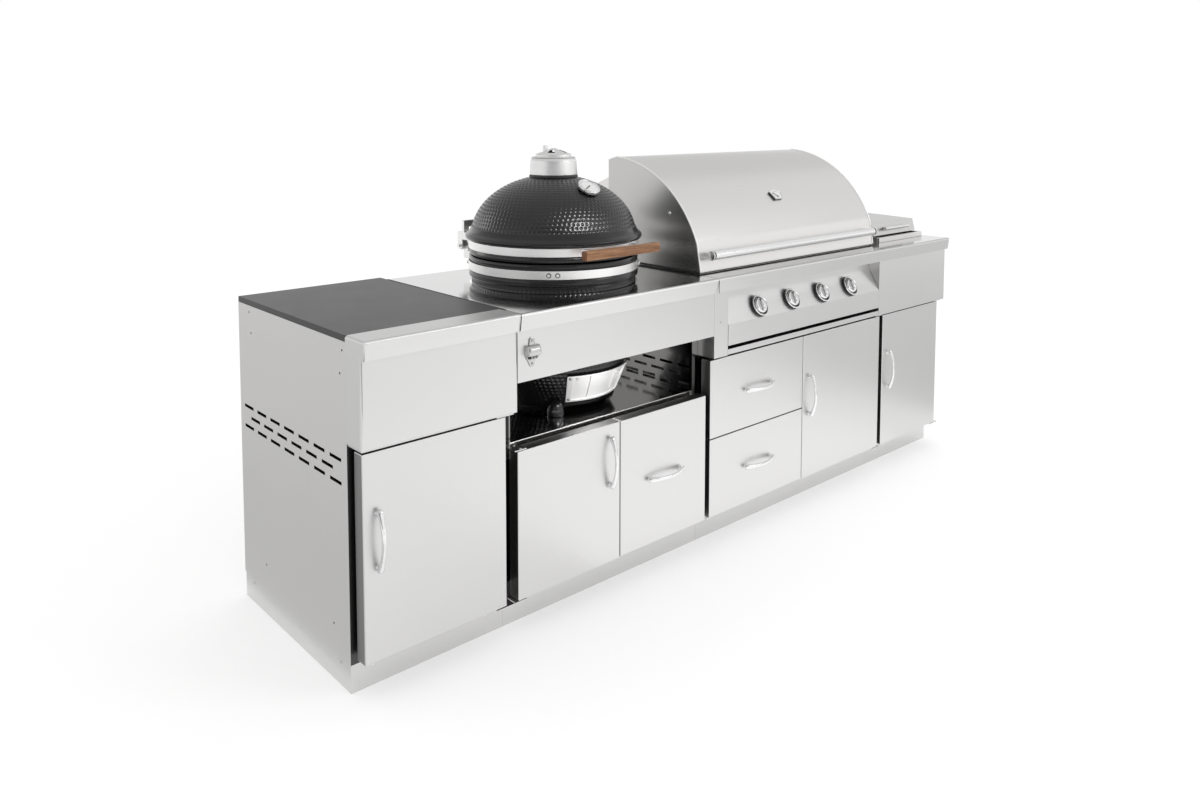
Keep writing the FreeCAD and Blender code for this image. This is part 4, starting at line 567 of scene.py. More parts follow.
def swept(path, across, sizes, sides=16, square=0.7):
    """A bar along a path, whose oval section has a half width and a half thickness at each point."""
    across = Vector(across)
    rows = []
    for k, (point, (wide, thick)) in enumerate(zip(path, sizes)):
        run = Vector(path[min(k + 1, len(path) - 1)]) - Vector(path[max(k - 1, 0)])
        out = run.normalized().cross(across)
        row = []
        for i in range(sides):
            c = math.cos(2*math.pi*i/sides)
            s = math.sin(2*math.pi*i/sides)
            u = math.copysign(abs(c)**square, c)*wide
            v = math.copysign(abs(s)**square, s)*thick
            row.append(Vector(point) + across*u + out*v)
        rows.append(row)
    return rings(rows)


print("fillets and bars ready")

# %% [markdown]
# ## The kamado's dimpled clay
# Bowl and dome are pressed with rows of shallow round dimples, each row moved by half a step against the
# next. A bump texture would look flat at the outline, so the dimples are real: the curve is cut into rings
# one dimple tall, and each ring has as many dimples as fit, which keeps their spacing up to the narrow top.

# %% Dimple sizes
kamado_x, kamado_y = -521.5, -22.0
centre = (kamado_x, kamado_y, 0)
dimple_step = 14.5
dimple_depth = 2.0
dimple_radius = 5.8
row_share = 0.866
cuts = 6
print("dimples every", dimple_step, "mm, rows every", round(dimple_step*row_share, 1), "mm")

# %% Dimpled skin
def measured(line):
    """A line of (radius, height) points as a function of the length run along it, and that length."""
    line = [Vector(p) for p in line]
    runs = [0.0]
    for a, b in zip(line, line[1:]):
        runs.append(runs[-1] + (b - a).length)

    def at(s):
        k = 0
        while k < len(runs) - 2 and runs[k + 1] < s:
            k += 1
        share = (s - runs[k])/(runs[k + 1] - runs[k])
        run = (line[k + 1] - line[k]).normalized()
        return line[k].lerp(line[k + 1], share), Vector((run.y, -run.x))

    return at, runs[-1]


def dimpled(line, keep=lambda angle, z: True):
    """Rings of dimples along a turned line that runs upwards, its outside on the right of its run."""
    at, length = measured(line)
    rows = round(length/(dimple_step*row_share))
    tall = length/rows
    points, faces = [], []
    for row in range(rows):
        count = round(2*math.pi*at((row + 0.5)*tall)[0].x/dimple_step)
        wide = 2*math.pi*at((row + 0.5)*tall)[0].x/count
        base = len(points)
        around = cuts*count
        for j in range(cuts + 1):
            spot, out = at((row + j/cuts)*tall)
            for i in range(around):
                off = ((i % cuts + cuts/2) % cuts - cuts/2)/cuts*wide
                d = math.hypot(off, (j/cuts - 0.5)*tall)
                sink = dimple_depth*0.5*(1 + math.cos(math.pi*min(1.0, d/dimple_radius)))
                r = spot.x - out.x*sink
                a = 2*math.pi*(i/cuts + 0.5*(row % 2))/count
                points.append((kamado_x + r*math.sin(a), kamado_y - r*math.cos(a), spot.y - out.y*sink))
        for j in range(cuts):
            for i in range(around):
                a = 2*math.pi*((i + 0.5)/cuts + 0.5*(row % 2))/count
                if keep(a, at((row + (j + 0.5)/cuts)*tall)[0].y):
                    k = (i + 1) % around
                    faces.append((base + j*around + i, base + j*around + k, base + (j + 1)*around + k,
                                  base + (j + 1)*around + i))
    return points, faces


print("dimples of", cuts, "by", cuts, "faces")

# %% Ovals and thrown skins
def oval(radius, rise, middle, low, high, steps):
    """Points (radius, height) on an upright ellipse between two heights, evenly spaced by angle."""
    a = math.asin((low - middle)/rise)
    b = math.asin((high - middle)/rise)
    angles = [a + (b - a)*k/steps for k in range(steps + 1)]
    return [(radius*math.cos(t), middle + rise*math.sin(t)) for t in angles]


def thrown(profile, steps=96):
    """An open skin turned about the kamado's upright axis."""
    return turned(profile, centre, steps=steps, capped=False)


print("kamado's axis at", kamado_x, kamado_y)

# %% [markdown]
# ## Dome and bowl
# The dome sits on a rolled bead, flares into a smooth lip over its band and then turns up into the dimpled
# cap. The bowl is the same below: bead, plain rim under its band, dimpled belly, flat foot. The draft port
# is an opening in the bowl's front, lined so that the wall looks as thick as it is.

# %% Dome
clay_outer, clay_inner, band_seat = 262.0, 238.0, 266.5
fine = 160
dome_inner = oval(clay_inner, 168, 1050, 1060, 1216, 16)
dome_rim = fillet([(clay_inner, 1052), (clay_inner, 991), (clay_outer, 991), (268.6, 993), (269, 1002),
                   (band_seat, 1009), (band_seat, 1030)], 5)
dome_lip = fillet([(band_seat, 1030), (band_seat, 1037), (279, 1039), (281.5, 1046), (280, 1052), (268, 1061),
                   (clay_outer, 1075)], 5)
cap_line = [tuple(dome_lip[-1])] + oval(clay_outer, 187, 1050, 1078, 1228, 60)
cap_top = cap_line[-1]
clay = dimpled(cap_line)
plain = thrown(dome_inner[::-1] + dome_rim, fine)
top = thrown([cap_top, (cap_top[0] - 3, 1229), (56, 1229.5), (55, 1228), (55, 1216), dome_inner[-1]])
skin("dome_clay", joined(clay, plain, top), "kamado_dome", glaze)
skin("dome_lip", thrown(dome_lip, fine), "kamado_dome", glaze, stands=False)
print("dome faces", len(clay[1]) + len(plain[1]) + len(top[1]))

# %% Bowl
port_turn, port_half = math.radians(4.5), math.radians(13.5)
port_low, port_high = 568.0, 636.0
belly_rise, belly_middle = 460.0, 870.0


def off_port(angle, z):
    """False inside the draft port."""
    turn = (angle - port_turn + math.pi) % (2*math.pi) - math.pi
    return abs(turn) > port_half or not port_low < z < port_high


belly = oval(clay_outer, belly_rise, belly_middle, 541, belly_middle, 70) + [(clay_outer, 914)]
clay = dimpled(belly, off_port)
rim = fillet([(clay_outer, 914), (262.5, 921), (269.5, 923), (269.5, 936), (band_seat, 944), (band_seat, 971),
              (269, 977), (268.6, 987), (clay_outer, 989), (clay_inner, 989)], 4)
inside = oval(clay_inner, belly_rise, belly_middle, 556, belly_middle, 40)[::-1]
foot = fillet([(1, 532), (172, 532), belly[0]], 8)
outer = thrown(rim, fine)
lining = thrown([rim[-1], (clay_inner, 900)] + inside + [(1, 556)], 144)
base = thrown(foot)
shown = []
for face in lining[1]:
    middle = sum((Vector(lining[0][i]) for i in face), Vector())/len(face)
    if off_port(math.atan2(middle.x - kamado_x, kamado_y - middle.y), middle.z):
        shown.append(face)
lining = (lining[0], shown)
skin("bowl_clay", joined(clay, lining, base), "kamado_bowl", glaze)
skin("bowl_rim", outer, "kamado_bowl", glaze, stands=False)
print("bowl faces", len(clay[1]) + len(outer[1]) + len(shown) + len(base[1]))

# %% Port lining
def on_clay(radius, turn, z):
    """A point round the kamado, by its turn to the right of the front."""
    return (kamado_x + radius*math.sin(turn), kamado_y - radius*math.cos(turn), z)


def belly_at(radius, z):
    """The belly's radius at a height, for its outside or its inside."""
    return oval(radius, belly_rise, belly_middle, z, z, 1)[0][0]


walls = []
turns = [port_turn + port_half*(k/6 - 1) for k in range(13)]
for z in (port_low, port_high):
    out = belly_at(clay_outer, z) - 1
    into = belly_at(clay_inner, z)
    for a, b in zip(turns, turns[1:]):
        spots = [on_clay(radius, turn, z) for radius, turn in ((out, a), (out, b), (into, b), (into, a))]
        walls.append((spots, [(0, 1, 2, 3)]))
heights = [port_low + (port_high - port_low)*k/6 for k in range(7)]
for turn in (turns[0], turns[-1]):
    for a, b in zip(heights, heights[1:]):
        spots = [on_clay(belly_at(r, z), turn, z) for z in (a, b) for r in (clay_outer - 1, clay_inner)]
        walls.append((spots, [(0, 1, 3, 2)]))
skin("draft_port_lining", joined(*walls), "kamado_bowl", glaze, stands=False)
print("port lining of", len(walls), "faces")

# %% [markdown]
# ## Chimney and vent wheel
# The chimney is a light casting, a little wider at its foot, on a black ring. The wheel that turns on it
# has a thick rim, a low cone with windows, and a square post to push it round by.

# %% Chimney
collar_line = [(57, 1236), (57, 1286), (59, 1291), (69, 1291), (73, 1283), (76, 1238), (74, 1235.5),
               (57, 1236)]
collar = thrown(fillet(collar_line, 3))
hub = turned([(1, 1262), (9, 1262), (9, 1288), (1, 1288)], centre, steps=32)
spokes = []
for turn in (0.4, 0.4 + math.pi/2):
    way = Vector((math.cos(turn), math.sin(turn), 0))
    path = [Vector((kamado_x, kamado_y, 1266)) + way*s for s in (-58, 0, 58)]
    spokes.append(swept(path, (0, 0, 1), [(3, 5)]*3, sides=12))
skin("chimney_collar", joined(collar, hub, *spokes), "chimney", cast_alloy)
ring = thrown(fillet([(56, 1228), (77, 1228), (78, 1232), (76.5, 1236.5), (56, 1236.5)], 2))
skin("chimney_ring", ring, "chimney", needle_black, stands=False)
print("chimney on a ring of", len(ring[1]), "faces")

# %% Vent wheel
rim_line = [(52, 1291.5), (70, 1291.5), (69, 1292.8), (57, 1294), (57, 1301), (53, 1303.5), (50, 1303.5)]
rim = thrown(fillet(rim_line, 2.2))
cone = thrown([(50, 1303.5), (42, 1306.8), (20, 1315), (12, 1317.5), (6, 1320), (1, 1320.5)])
window_in, window_out, window_turn = 20.0, 42.0, 40.0
kept = []
for face in cone[1]:
    middle = sum((Vector(cone[0][i]) for i in face), Vector())/4 - Vector(centre)
    turn = math.degrees(math.atan2(middle.y, middle.x)) % 90
    reach = math.hypot(middle.x, middle.y)
    window_half = 4 + (reach - window_in)*1.1
    if not (window_in < reach < window_out and abs(turn - window_turn) < window_half):
        kept.append(face)
under = thrown([(51, 1296), (1, 1298)], 64)
post_turn, post_reach = math.radians(138), 26.0
post_foot = Vector(centre) + Vector((math.cos(post_turn), math.sin(post_turn), 0))*post_reach
post = swept([post_foot + Vector((0, 0, z)) for z in (1304, 1308, 1324, 1327, 1328.2)], (1, 0, 0),
             [(6.8, 6.8), (6.5, 6.5), (6.2, 6.2), (6.0, 6.0), (4.6, 4.6)], sides=24, square=0.35)
skin("vent_wheel_disc", joined(rim, (cone[0], kept), post), "vent_wheel", cast_alloy)
skin("vent_wheel_shade", under, "vent_wheel", needle_black, stands=False)
print("wheel cone keeps", len(kept), "of", len(cone[1]), "faces")

# %% [markdown]
# ## Thermometers
# The dome has a round dial on a short stem, the hood a fan-shaped one. Both are a chromed rim round a white
# enamelled face with printed ticks. The needles are nodes of their own and turn in front of the face.

# %% White enamel
def white_enamel():
    material, shader, place = finish("white_enamel", Coat_Weight=0.6, Coat_Roughness=0.08)
    clouds = stretched(place, (80, 80, 80), 3.0)
    feed(shader, Base_Color=mix(grey(0.86), grey(0.92, 0.005), clouds), Roughness=clouds*0.1 + 0.25)
    return material


enamel = white_enamel()
print("enamel:", enamel.name)

# %% Round dial on the dome
face_lift, print_lift = 10.9, 0.08


def ticks(origin, axis, angles, inner, outer, thick):
    """Flat radial strokes on a dial, by angle from its upper end, counted to the right."""
    up = Vector(axis).normalized()
    side = Vector((1, 0, 0))
    high = up.cross(side)
    strokes = []
    for k, angle in enumerate(angles):
        a = math.radians(angle)
        out = side*math.sin(a) + high*math.cos(a)
        along = side*math.cos(a) - high*math.sin(a)
        start = inner if k % 5 else inner - 2.5
        corners = ((start, -thick), (start, thick), (outer, thick), (outer, -thick))
        strokes.append(([Vector(origin) + out*r + along*w for r, w in corners], [(0, 1, 2, 3)]))
    return joined(*strokes)


dial_seat, dial_axis = Vector((kamado_x, -187.0, 1199.0)), Vector((0, -0.511, 0.860))
bezel_line = [(4, -6), (28, -2), (35, 1), (36, 4), (36, 11.5), (34, 14.2), (32, 13.6), (30.8, face_lift)]
bezel = fillet(bezel_line, 2)
skin("dial_bezel", turned(bezel, dial_seat, dial_axis, capped=False), "dome_thermometer", chrome)
plate = turned([(31, face_lift)], dial_seat, dial_axis, capped=False)[0]
skin("dial_face", (plate, [tuple(range(len(plate)))]), "dome_thermometer", enamel, stands=False)
scale = [-120 + 240*k/25 for k in range(26)]
marks = ticks(dial_seat + dial_axis*(face_lift + print_lift), dial_axis, scale, 25, 28.5, 0.28)
skin("dial_ticks", marks, "dome_thermometer", needle_black, stands=False)
print("dial of", len(bezel), "rows")

# %% Fan gauge on the hood
gauge_seat, gauge_axis = Vector((408.5, -189.2, 1127.0)), Vector((0, -0.7499, 0.6615))
gauge_up = gauge_axis.cross(Vector((1, 0, 0)))
fan_foot, fan_half, fan_reach, fan_sag = 21.0, 22.0, 37.6, 10.0
fan_arc = math.radians(58)
fan_middle, fan_span = -2.0, 30.0
fan_lift, pivot_drop = 6.1, 11.0


def fan(inset, lift):
    """The fan's outline, drawn in by an inset and lifted off the hood."""
    line = [(-fan_foot, -fan_half), (fan_foot, -fan_half)]
    for k in range(17):
        a = fan_arc*(1 - k/8)
        line.append((fan_reach*math.sin(a), fan_half - fan_sag*(1 - math.cos(a))/(1 - math.cos(fan_arc))))
    size = 1 - inset/fan_span
    middle = gauge_seat + gauge_axis*lift + gauge_up*fan_middle
    return [middle + Vector((u*size, 0, 0)) + gauge_up*(v - fan_middle)*size for u, v in line]


gauge_rim = rings([fan(0, 5.5), fan(0, 7.8), fan(1.2, 9), fan(2.6, 8.8), fan(3.4, fan_lift)], False)
skin("gauge_rim", gauge_rim, "hood_thermometer", chrome)
gauge_side = rings([fan(0.5, -2), fan(0.4, 5.5)], False)
skin("gauge_side", gauge_side, "hood_thermometer", needle_black, stands=False)
face = fan(3.2, fan_lift)
skin("gauge_face", (face, [tuple(range(len(face)))]), "hood_thermometer", enamel, stands=False)
gauge_pivot = gauge_seat + gauge_axis*(fan_lift + print_lift) - gauge_up*pivot_drop
marks = ticks(gauge_pivot, gauge_axis, [-48 + 96*k/15 for k in range(16)], 22, 26, 0.3)
skin("gauge_ticks", marks, "hood_thermometer", needle_black, stands=False)
print("fan outline of", len(face), "points")

# %% [markdown]
# ## Bow handles
# Seven chromed bow handles, all cast alike: flared feet on the door, a slim oval bow between them. The bow
# is swept along an arc, and its section grows towards the feet.

# %% Handles
bow_length, bow_lift, bow_end_lift, boss_reach = 160.0, 29.0, 7.5, 68.0
bow_wide, bow_thick = 5.6, 4.4
flare_wide, flare_thick = 3.2, 2.0


def bow(node, along):
    """A bow bar on two flared feet, at the place of a handle node."""
    low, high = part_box(node)
    middle = (Vector(low) + Vector(high))/2/mm
    seat = Vector((middle.x, high[1]/mm, middle.z))
    along = Vector(along)
    out = Vector((0, -1, 0))
    across = out.cross(along)
    path, sizes = [], []
    for k in range(61):
        t = math.sin(math.pi/2*(k/30 - 1))
        lift = bow_end_lift + (bow_lift - bow_end_lift)*(1 - t*t)
        path.append(seat + out*lift + along*t*bow_length/2)
        flare = min(1.0, abs(t)/0.85)**3
        tip = math.sqrt(max(0.02, 1 - max(0.0, (abs(t) - 0.9)/0.1)**2))
        sizes.append(((bow_wide + flare_wide*flare)*tip, (bow_thick + flare_thick*flare)*tip))
    parts = [swept(path, across, sizes, sides=20, square=0.85)]
    boss = fillet([(8.6, 0), (8.2, 2), (6.2, 6), (6.0, 13), (1, 14)], 3)
    for way in (-1, 1):
        parts.append(turned(boss, seat + along*way*boss_reach, out, 28))
    return joined(*parts)


for door in doors:
    skin(door + "_bow", bow(door + "_handle", (0, 0, 1)), door + "_handle", chrome)
for drawer in drawers:
    skin(drawer + "_bow", bow(drawer + "_handle", (1, 0, 0)), drawer + "_handle", chrome)
print("handles:", sum(name.endswith("_bow") for name in made))

# %% [markdown]
# ## The wooden handle
# A bar with eased corners and a slight outward bow, on the two steel brackets of the upper band.

# %% Wood bar
wood_y, wood_z, wood_bow = -338.2, 1024.5, 3.6
wood_tall, wood_thick = 13.9, 11.8
tips = ((150.0, 0.86), (149.2, 0.95), (147.5, 1.0))
stations = [(-x, 0.0, share) for x, share in tips]
for k in range(1, 20):
    t = k/10 - 1
    stations.append((tips[-1][0]*t, 0.1 + wood_bow*(1 - t*t), 1.0))
stations += [(x, 0.0, share) for x, share in tips[::-1]]
path = [Vector((kamado_x + x, wood_y - out, wood_z)) for x, out, share in stations]
sizes = [(wood_tall*share, wood_thick*share) for x, out, share in stations]
skin("wood_bar", swept(path, (0, 0, 1), sizes, sides=48, square=0.32), "wood_handle", wood)
print("bar of", len(path), "sections")

# %% [markdown]
# ## Knobs
# Each knob is a chromed dish with a grip across it, in a deep chromed bezel. The bezel's outside wall is
# painted black as painted shade and dark reflection.

# %% Bezels
slope = Vector((0, -0.8657, 0.5006))
knob_xs = (132.5, 316.5, 500.5, 684.5)
seats = [Vector((x, -333.8, 769.0)) for x in knob_xs]
rim = fillet([(32.6, 11.2), (33.4, 12.4), (35.4, 13), (37.1, 12.2), (37.4, 10.6)], 1.0)
wall = fillet([(37.3, 10.8), (37.8, 6), (38, 0)], 1)
well = fillet([(28.4, 0.4), (29.2, 2), (32.7, 11.4)], 2)


def at_seats(line):
    """An open turned skin at every knob's seat."""
    return joined(*[turned(line, seat, slope, capped=False) for seat in seats])


skin("bezel_rims", at_seats(rim), "knob_bezels", chrome)
# The bezels' outside walls are painted black: painted shade and a painted dark reflection on chromed walls.
skin("bezel_wall_shade", at_seats(wall), "knob_bezels", needle_black, stands=False)
skin("bezel_wells", at_seats(well), "knob_bezels", cast_steel, stands=False)
print("bezels:", len(seats))

# %% Knobs
body = fillet([(2, 3.2), (27.0, 3.2), (27.6, 6), (27.0, 13), (24.0, 17), (14, 16.4), (1, 15.8)], 2)
high = slope.cross(Vector((1, 0, 0)))
reaches = (-21.5, -20.8, -18, -10, 0, 10, 18, 20.8, 21.5)
half = [(2.0, 4), (3.6, 8), (4.6, 10.5), (5.0, 12)]
sizes = half + [(4.6, 12.6)] + half[::-1]
grip_lift = 14.0
for number, seat in enumerate(seats, 1):
    path = [seat + slope*grip_lift + high*v for v in reaches]
    grip = swept(path, (1, 0, 0), sizes, sides=20, square=0.75)
    skin("knob_dish_" + str(number), joined(turned(body, seat, slope), grip), "knob_" + str(number), chrome)
print("knobs at x", knob_xs)

# %% [markdown]
# ## Bottle opener
# A cast opener on the kamado's apron: an ear with a screw above and below, and between them a hooded mouth
# that stands out from the plate.

# %% Opener
opener_x, apron = -874.5, -353.5
opener_low, opener_high = 746.0, 826.0
mouth_half, mouth_z = 24.0, 788.0
shield = [(opener_low, 3, 1), (748, 6.5, 1.8), (753, 9, 2), (760, 12, 2), (772, 19, 2), (782, 21, 2),
          (796, 19, 2), (806, 11, 2), (812, 9, 2), (820, 9, 2), (824, 6.5, 1.8), (opener_high, 3, 1)]
path = [Vector((opener_x - 1, apron - 2, z)) for z, wide, thick in shield]
plate = swept(path, (1, 0, 0), [(wide, thick) for z, wide, thick in shield], sides=20, square=0.6)
mouth_line = fillet([(1, 808), (9, 807), (16, 800), (18.8, 791), (18.4, 783), (15, 778), (11, 777)], 5)
rows = []
for k in range(25):
    u = k/12 - 1
    swell = max(0.0, 1 - abs(u)**8)**0.5
    shrug = 0.78 + 0.22*swell
    x = opener_x + mouth_half*u
    outer = [Vector((x, apron - 1 - out*swell, mouth_z + (z - mouth_z)*shrug)) for out, z in mouth_line]
    inner = [p + Vector((0, 2.6*swell, 0)) for p in outer[::-1]]
    rows.append(outer + inner)
teeth = []
for x in (-9, 0, 9):
    path = [Vector((opener_x + x, apron - 14 + 2*k, 776 - 3*k)) for k in range(3)]
    teeth.append(swept(path, (1, 0, 0), [(3.4, 2.4), (2.6, 2), (1, 0.8)], sides=10))
screw = [(1, 3.6), (2.6, 3.2), (3.8, 2), (4, 0)]
screws = [turned(screw, (opener_x - 1, apron - 3.6, z), (0, -1, 0), 24) for z in (754, 818)]
skin("opener_casting", joined(plate, rings(rows), *teeth, *screws), "bottle_opener", cast_steel)
# A black strip under the mouth's hood is a painted shadow: the shade beneath the hood, on the plate.
shade = swept([Vector((opener_x + x, apron - 6, 774)) for x in (-17, -15, 15, 17)], (0, 0, 1),
              [(2, 2), (5.5, 4), (5.5, 4), (2, 2)], sides=20)
skin("opener_mouth_shadow", shade, "bottle_opener", needle_black, stands=False)
print("opener mouth of", len(rows), "ribs")

# %% [markdown]
# ## Screws of the draft frame and bolts of the lower band
# The draft frame is held by two screws in the strip at each end. The lower band's bolts come in pairs, and
# each has a dark washer, so they show as rings on the bright band.

# %% Screws of the draft frame
frame_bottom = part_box("draft_frame")[0][2]/mm
strip_low, strip_high, strip_radius, strip_lean = 567.0, 637.0, 203.6, 0.4125
strip_turns = (math.radians(-27.5), math.radians(36.5))
button = [(1, 2.6), (2.6, 2.2), (3.8, 1.2), (4.1, -0.5)]
buttons = []
for turn in strip_turns:
    for z in (strip_low, strip_high):
        way = Vector((math.sin(turn), -math.cos(turn), -strip_lean)).normalized()
        radius = strip_radius + strip_lean*(z - frame_bottom)
        buttons.append(turned(button, on_clay(radius, turn, z), way, 20))
skin("draft_frame_screws", joined(*buttons), "draft_frame", cast_steel, stands=False)
print("draft frame screws", len(buttons))

# %% Bolts of the lower band
band_low, band_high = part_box("lower_band")
bolt_z = 957.5
bolt_circle, bolt_half_pitch = 270.4, 13.0
bolt = fillet([(1, 5.4), (4.2, 5.2), (5.2, 3.6), (5.2, 0)], 1)
washer = [(7.4, 0), (7.4, 1.2), (5, 1.4)]
bolts, washers = [], []
for degrees in (-132, -40, 40, 132):
    for shift in (-1, 1):
        turn = math.radians(degrees) + shift*bolt_half_pitch/bolt_circle
        way = (math.sin(turn), -math.cos(turn), 0)
        bolts.append(turned(bolt, on_clay(bolt_circle, turn, bolt_z), way, 24))
        washers.append(turned(washer, on_clay(bolt_circle, turn, bolt_z), way, 24, capped=False))
skin("band_bolts", joined(*bolts), "lower_band", chrome, stands=False)
skin("band_washers", joined(*washers), "lower_band", needle_black, stands=False)
print("lower band z", round(band_low[2]/mm, 1), round(band_high[2]/mm, 1), "bolts", len(bolts))

# %% [markdown]
# ## Joints in the worktop
# Where the stone meets the kamado's worktop, a thin black strip lies along the joint as one dark line. A
# finer seam runs over the nosing where the kamado's worktop meets the grill's.

# %% Joint strips
joint_x, joint_z = -922.5, 899.6
joint = [Vector((joint_x, y, joint_z)) for y in (-300, 0, 328)]
skin("slab_joint", swept(joint, (1, 0, 0), [(2.0, 1.4)]*3, sides=12), "stone_top", needle_black, stands=False)
seam_x = -120.5
nosing_line = ((-373.2, 852), (-373.2, 891), (-371, 897.4), (-365, 899.8), (-300, 899.8))
seam = swept([Vector((seam_x, y, z)) for y, z in nosing_line], (1, 0, 0), [(0.9, 0.5)]*5, sides=12)
skin("nosing_joint", seam, "grill_worktop", needle_black, stands=False)
print("joints at x", joint_x, seam_x)

# %% [markdown]
# ## Feet under the bowl
# Three short glazed stubs carry the bowl. Each is round all over, so the light shows as one spot on it.

# %% Feet
feet_low, feet_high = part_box("kamado_feet")
foot_z = feet_low[2]/mm
foot_tall = feet_high[2]/mm - foot_z
foot_line = fillet([(1, 0), (25, 0), (27, 4), (26, 20), (19, 38), (8, 44), (1, foot_tall)], 6)


def foot_spots():
    """The middles of the foot node's separate stubs, found by joining up its mesh."""
    net = bmesh.new()
    net.from_mesh(frame["nodes"]["kamado_feet"].data)
    bmesh.ops.remove_doubles(net, verts=net.verts, dist=weld_reach)
    left = set(net.verts)
    spots = []
    while left:
        group, edge = set(), [left.pop()]
        while edge:
            vert = edge.pop()
            group.add(vert)
            for link in vert.link_edges:
                other = link.other_vert(vert)
                if other in left:
                    left.discard(other)
                    edge.append(other)
        low = [min(v.co[i] for v in group) for i in range(3)]
        high = [max(v.co[i] for v in group) for i in range(3)]
        spots.append(((low[0] + high[0])/2/mm, (low[1] + high[1])/2/mm, foot_z))
    net.free()
    return sorted(spots)


stubs = [turned(foot_line, spot, steps=48) for spot in foot_spots()]
skin("clay_feet", joined(*stubs), "kamado_feet", glaze)
print("feet:", len(stubs), "of height", round(foot_tall, 1), "mm")

# %% [markdown]
# ## The hood
# The hood is one curved sheet. Its two open edges are rolled over the end plates, and the end plates are
# polished, so they mirror the kamado beside them.

# %% Hood sheet, end plates and rolled edges
hood = eased("hood_shell", 1.0, steel_hood)
repaint(hood, lambda n: int(abs(n.x) > 0.95), steel_end)
hood_left, hood_right = -114.0, 931.0
bend_y, bend_z, bend_radius = 140.0, 836.6, 439.0
hood_foot, bend_first, bend_last = Vector((-283.5, 909.0)), Vector((-267.5, 1000.0)), Vector((116.5, 1275.0))
first = math.atan2(bend_first.y - bend_z, bend_first.x - bend_y)
last = math.atan2(bend_last.y - bend_z, bend_last.x - bend_y)
profile = [hood_foot.lerp(bend_first, k/6) for k in range(6)]
for k in range(33):
    a = first + (last - first)*k/32
    profile.append((bend_y + bend_radius*math.cos(a), bend_z + bend_radius*math.sin(a)))
profile += [(138, 1269), (159, 1263.2)]
roll, roll_thick = 3.4, 2.6
edges = []
for x in (hood_left + roll, hood_right - roll):
    path = [Vector((x, y, z)) for y, z in profile]
    edges.append(swept(path, (1, 0, 0), [(roll, roll_thick)]*len(profile), sides=12, square=0.9))
skin("hood_rolled_edges", joined(*edges), "hood_shell", steel_band, stands=False)
screw = [(1, 3.6), (3.4, 3.2), (5.2, 1.6), (5.6, 0)]
screw_y, screw_z = -145.3, 1093.6
sides = ((hood_left + 2, -1), (hood_right - 2, 1))
heads = [turned(screw, (x, screw_y, screw_z), (way, 0, 0), 24) for x, way in sides]
skin("hood_end_screws", joined(*heads), "hood_shell", chrome, stands=False)
print("hood faces", len(hood.data.polygons))

# %% [markdown]
# ## The hood's lower edge
# A black strip stands back from the hood's front as painted shade for the dark gap under the hood, and the
# sheet's last few millimetres hang down before it as a skirt. Both are thin upright strips, and move with the
# hood.

# %% Skirt and dark gap strip
def strip(start, end, half, thick):
    """An upright strip between two points."""
    return swept([Vector(start), Vector(end)], (0, 0, 1), [(half, thick)]*2, sides=16, square=0.4)


skirt_y, skirt_z = -281.2, 908.0
skirt = strip((hood_left + 2, skirt_y, skirt_z), (hood_right - 2, skirt_y, skirt_z), 3, 1.8)
skin("hood_skirt", skirt, "hood_shell", steel_hood, stands=False)
# The black strip is painted shade: it fills the gap under the hood's front with the dark of the grill's
# inside.
shade_strip_low, shade_strip_high, shade_strip_y, shade_strip_back = 901.6, 911.0, -278.0, 100.0
shade_strip_z = (shade_strip_low + shade_strip_high)/2
shade_strip_half = (shade_strip_high - shade_strip_low)/2
shade_strips = [strip((hood_left + 4, shade_strip_y, shade_strip_z), (hood_right - 4, shade_strip_y, shade_strip_z), shade_strip_half, 1.8)]
for x in (hood_left + 3.5, hood_right - 3.5):
    shade_strips.append(strip((x, shade_strip_y, shade_strip_z), (x, shade_strip_back, shade_strip_z), shade_strip_half, 1))
skin("hood_gap_shade", joined(*shade_strips), "hood_shell", needle_black, stands=False)
print("gap_shade_strip", round(2*shade_strip_half, 1), "mm tall")

# %% [markdown]
# ## The hood's handle
# A tube the width of the hood, held between two round caps, each on a post that stands on the hood's flange.
# A short dark neck sets the tube off from each cap.

# %% Hood handle
bar_y, bar_z, bar_radius = -305.0, 962.0, 15.0
bar_left, bar_right = -84.0, 901.0
plate_thick, neck_long = 5.0, 7.0
flange_back = -274.0
tube_left = bar_left + plate_thick + neck_long
tube_right = bar_right - plate_thick - neck_long
tube_length = tube_right - tube_left
tube_line = fillet([(1, 0), (bar_radius, 0), (bar_radius, tube_length), (1, tube_length)], 1.5)
handle = [turned(tube_line, (tube_left, bar_y, bar_z), (1, 0, 0), 48)]
necks = []
for plate_x, neck_x in ((bar_left, bar_left + plate_thick), (bar_right - plate_thick, tube_right)):
    cap = fillet([(1, 0), (bar_radius + 0.8, 0), (bar_radius + 0.8, plate_thick), (1, plate_thick)], 1.2)
    handle.append(turned(cap, (plate_x, bar_y, bar_z), (1, 0, 0), 48))
    post = [Vector((plate_x + plate_thick/2, y, bar_z)) for y in (bar_y, flange_back)]
    handle.append(swept(post, (0, 0, 1), [(8.5, plate_thick/2 - 0.3)]*2, 20, 0.5))
    necks.append(turned([(12.5, 0), (12.5, neck_long)], (neck_x, bar_y, bar_z), (1, 0, 0), 32))
skin("hood_handle_bar", joined(*handle), "hood_handle", tube_steel)
skin("hood_handle_necks", joined(*necks), "hood_handle", needle_black, stands=False)
print("handle tube", tube_length, "mm long")

# %% [markdown]
# ## The side lid's grip
# The small lid has a bright tube across its front, on two posts.

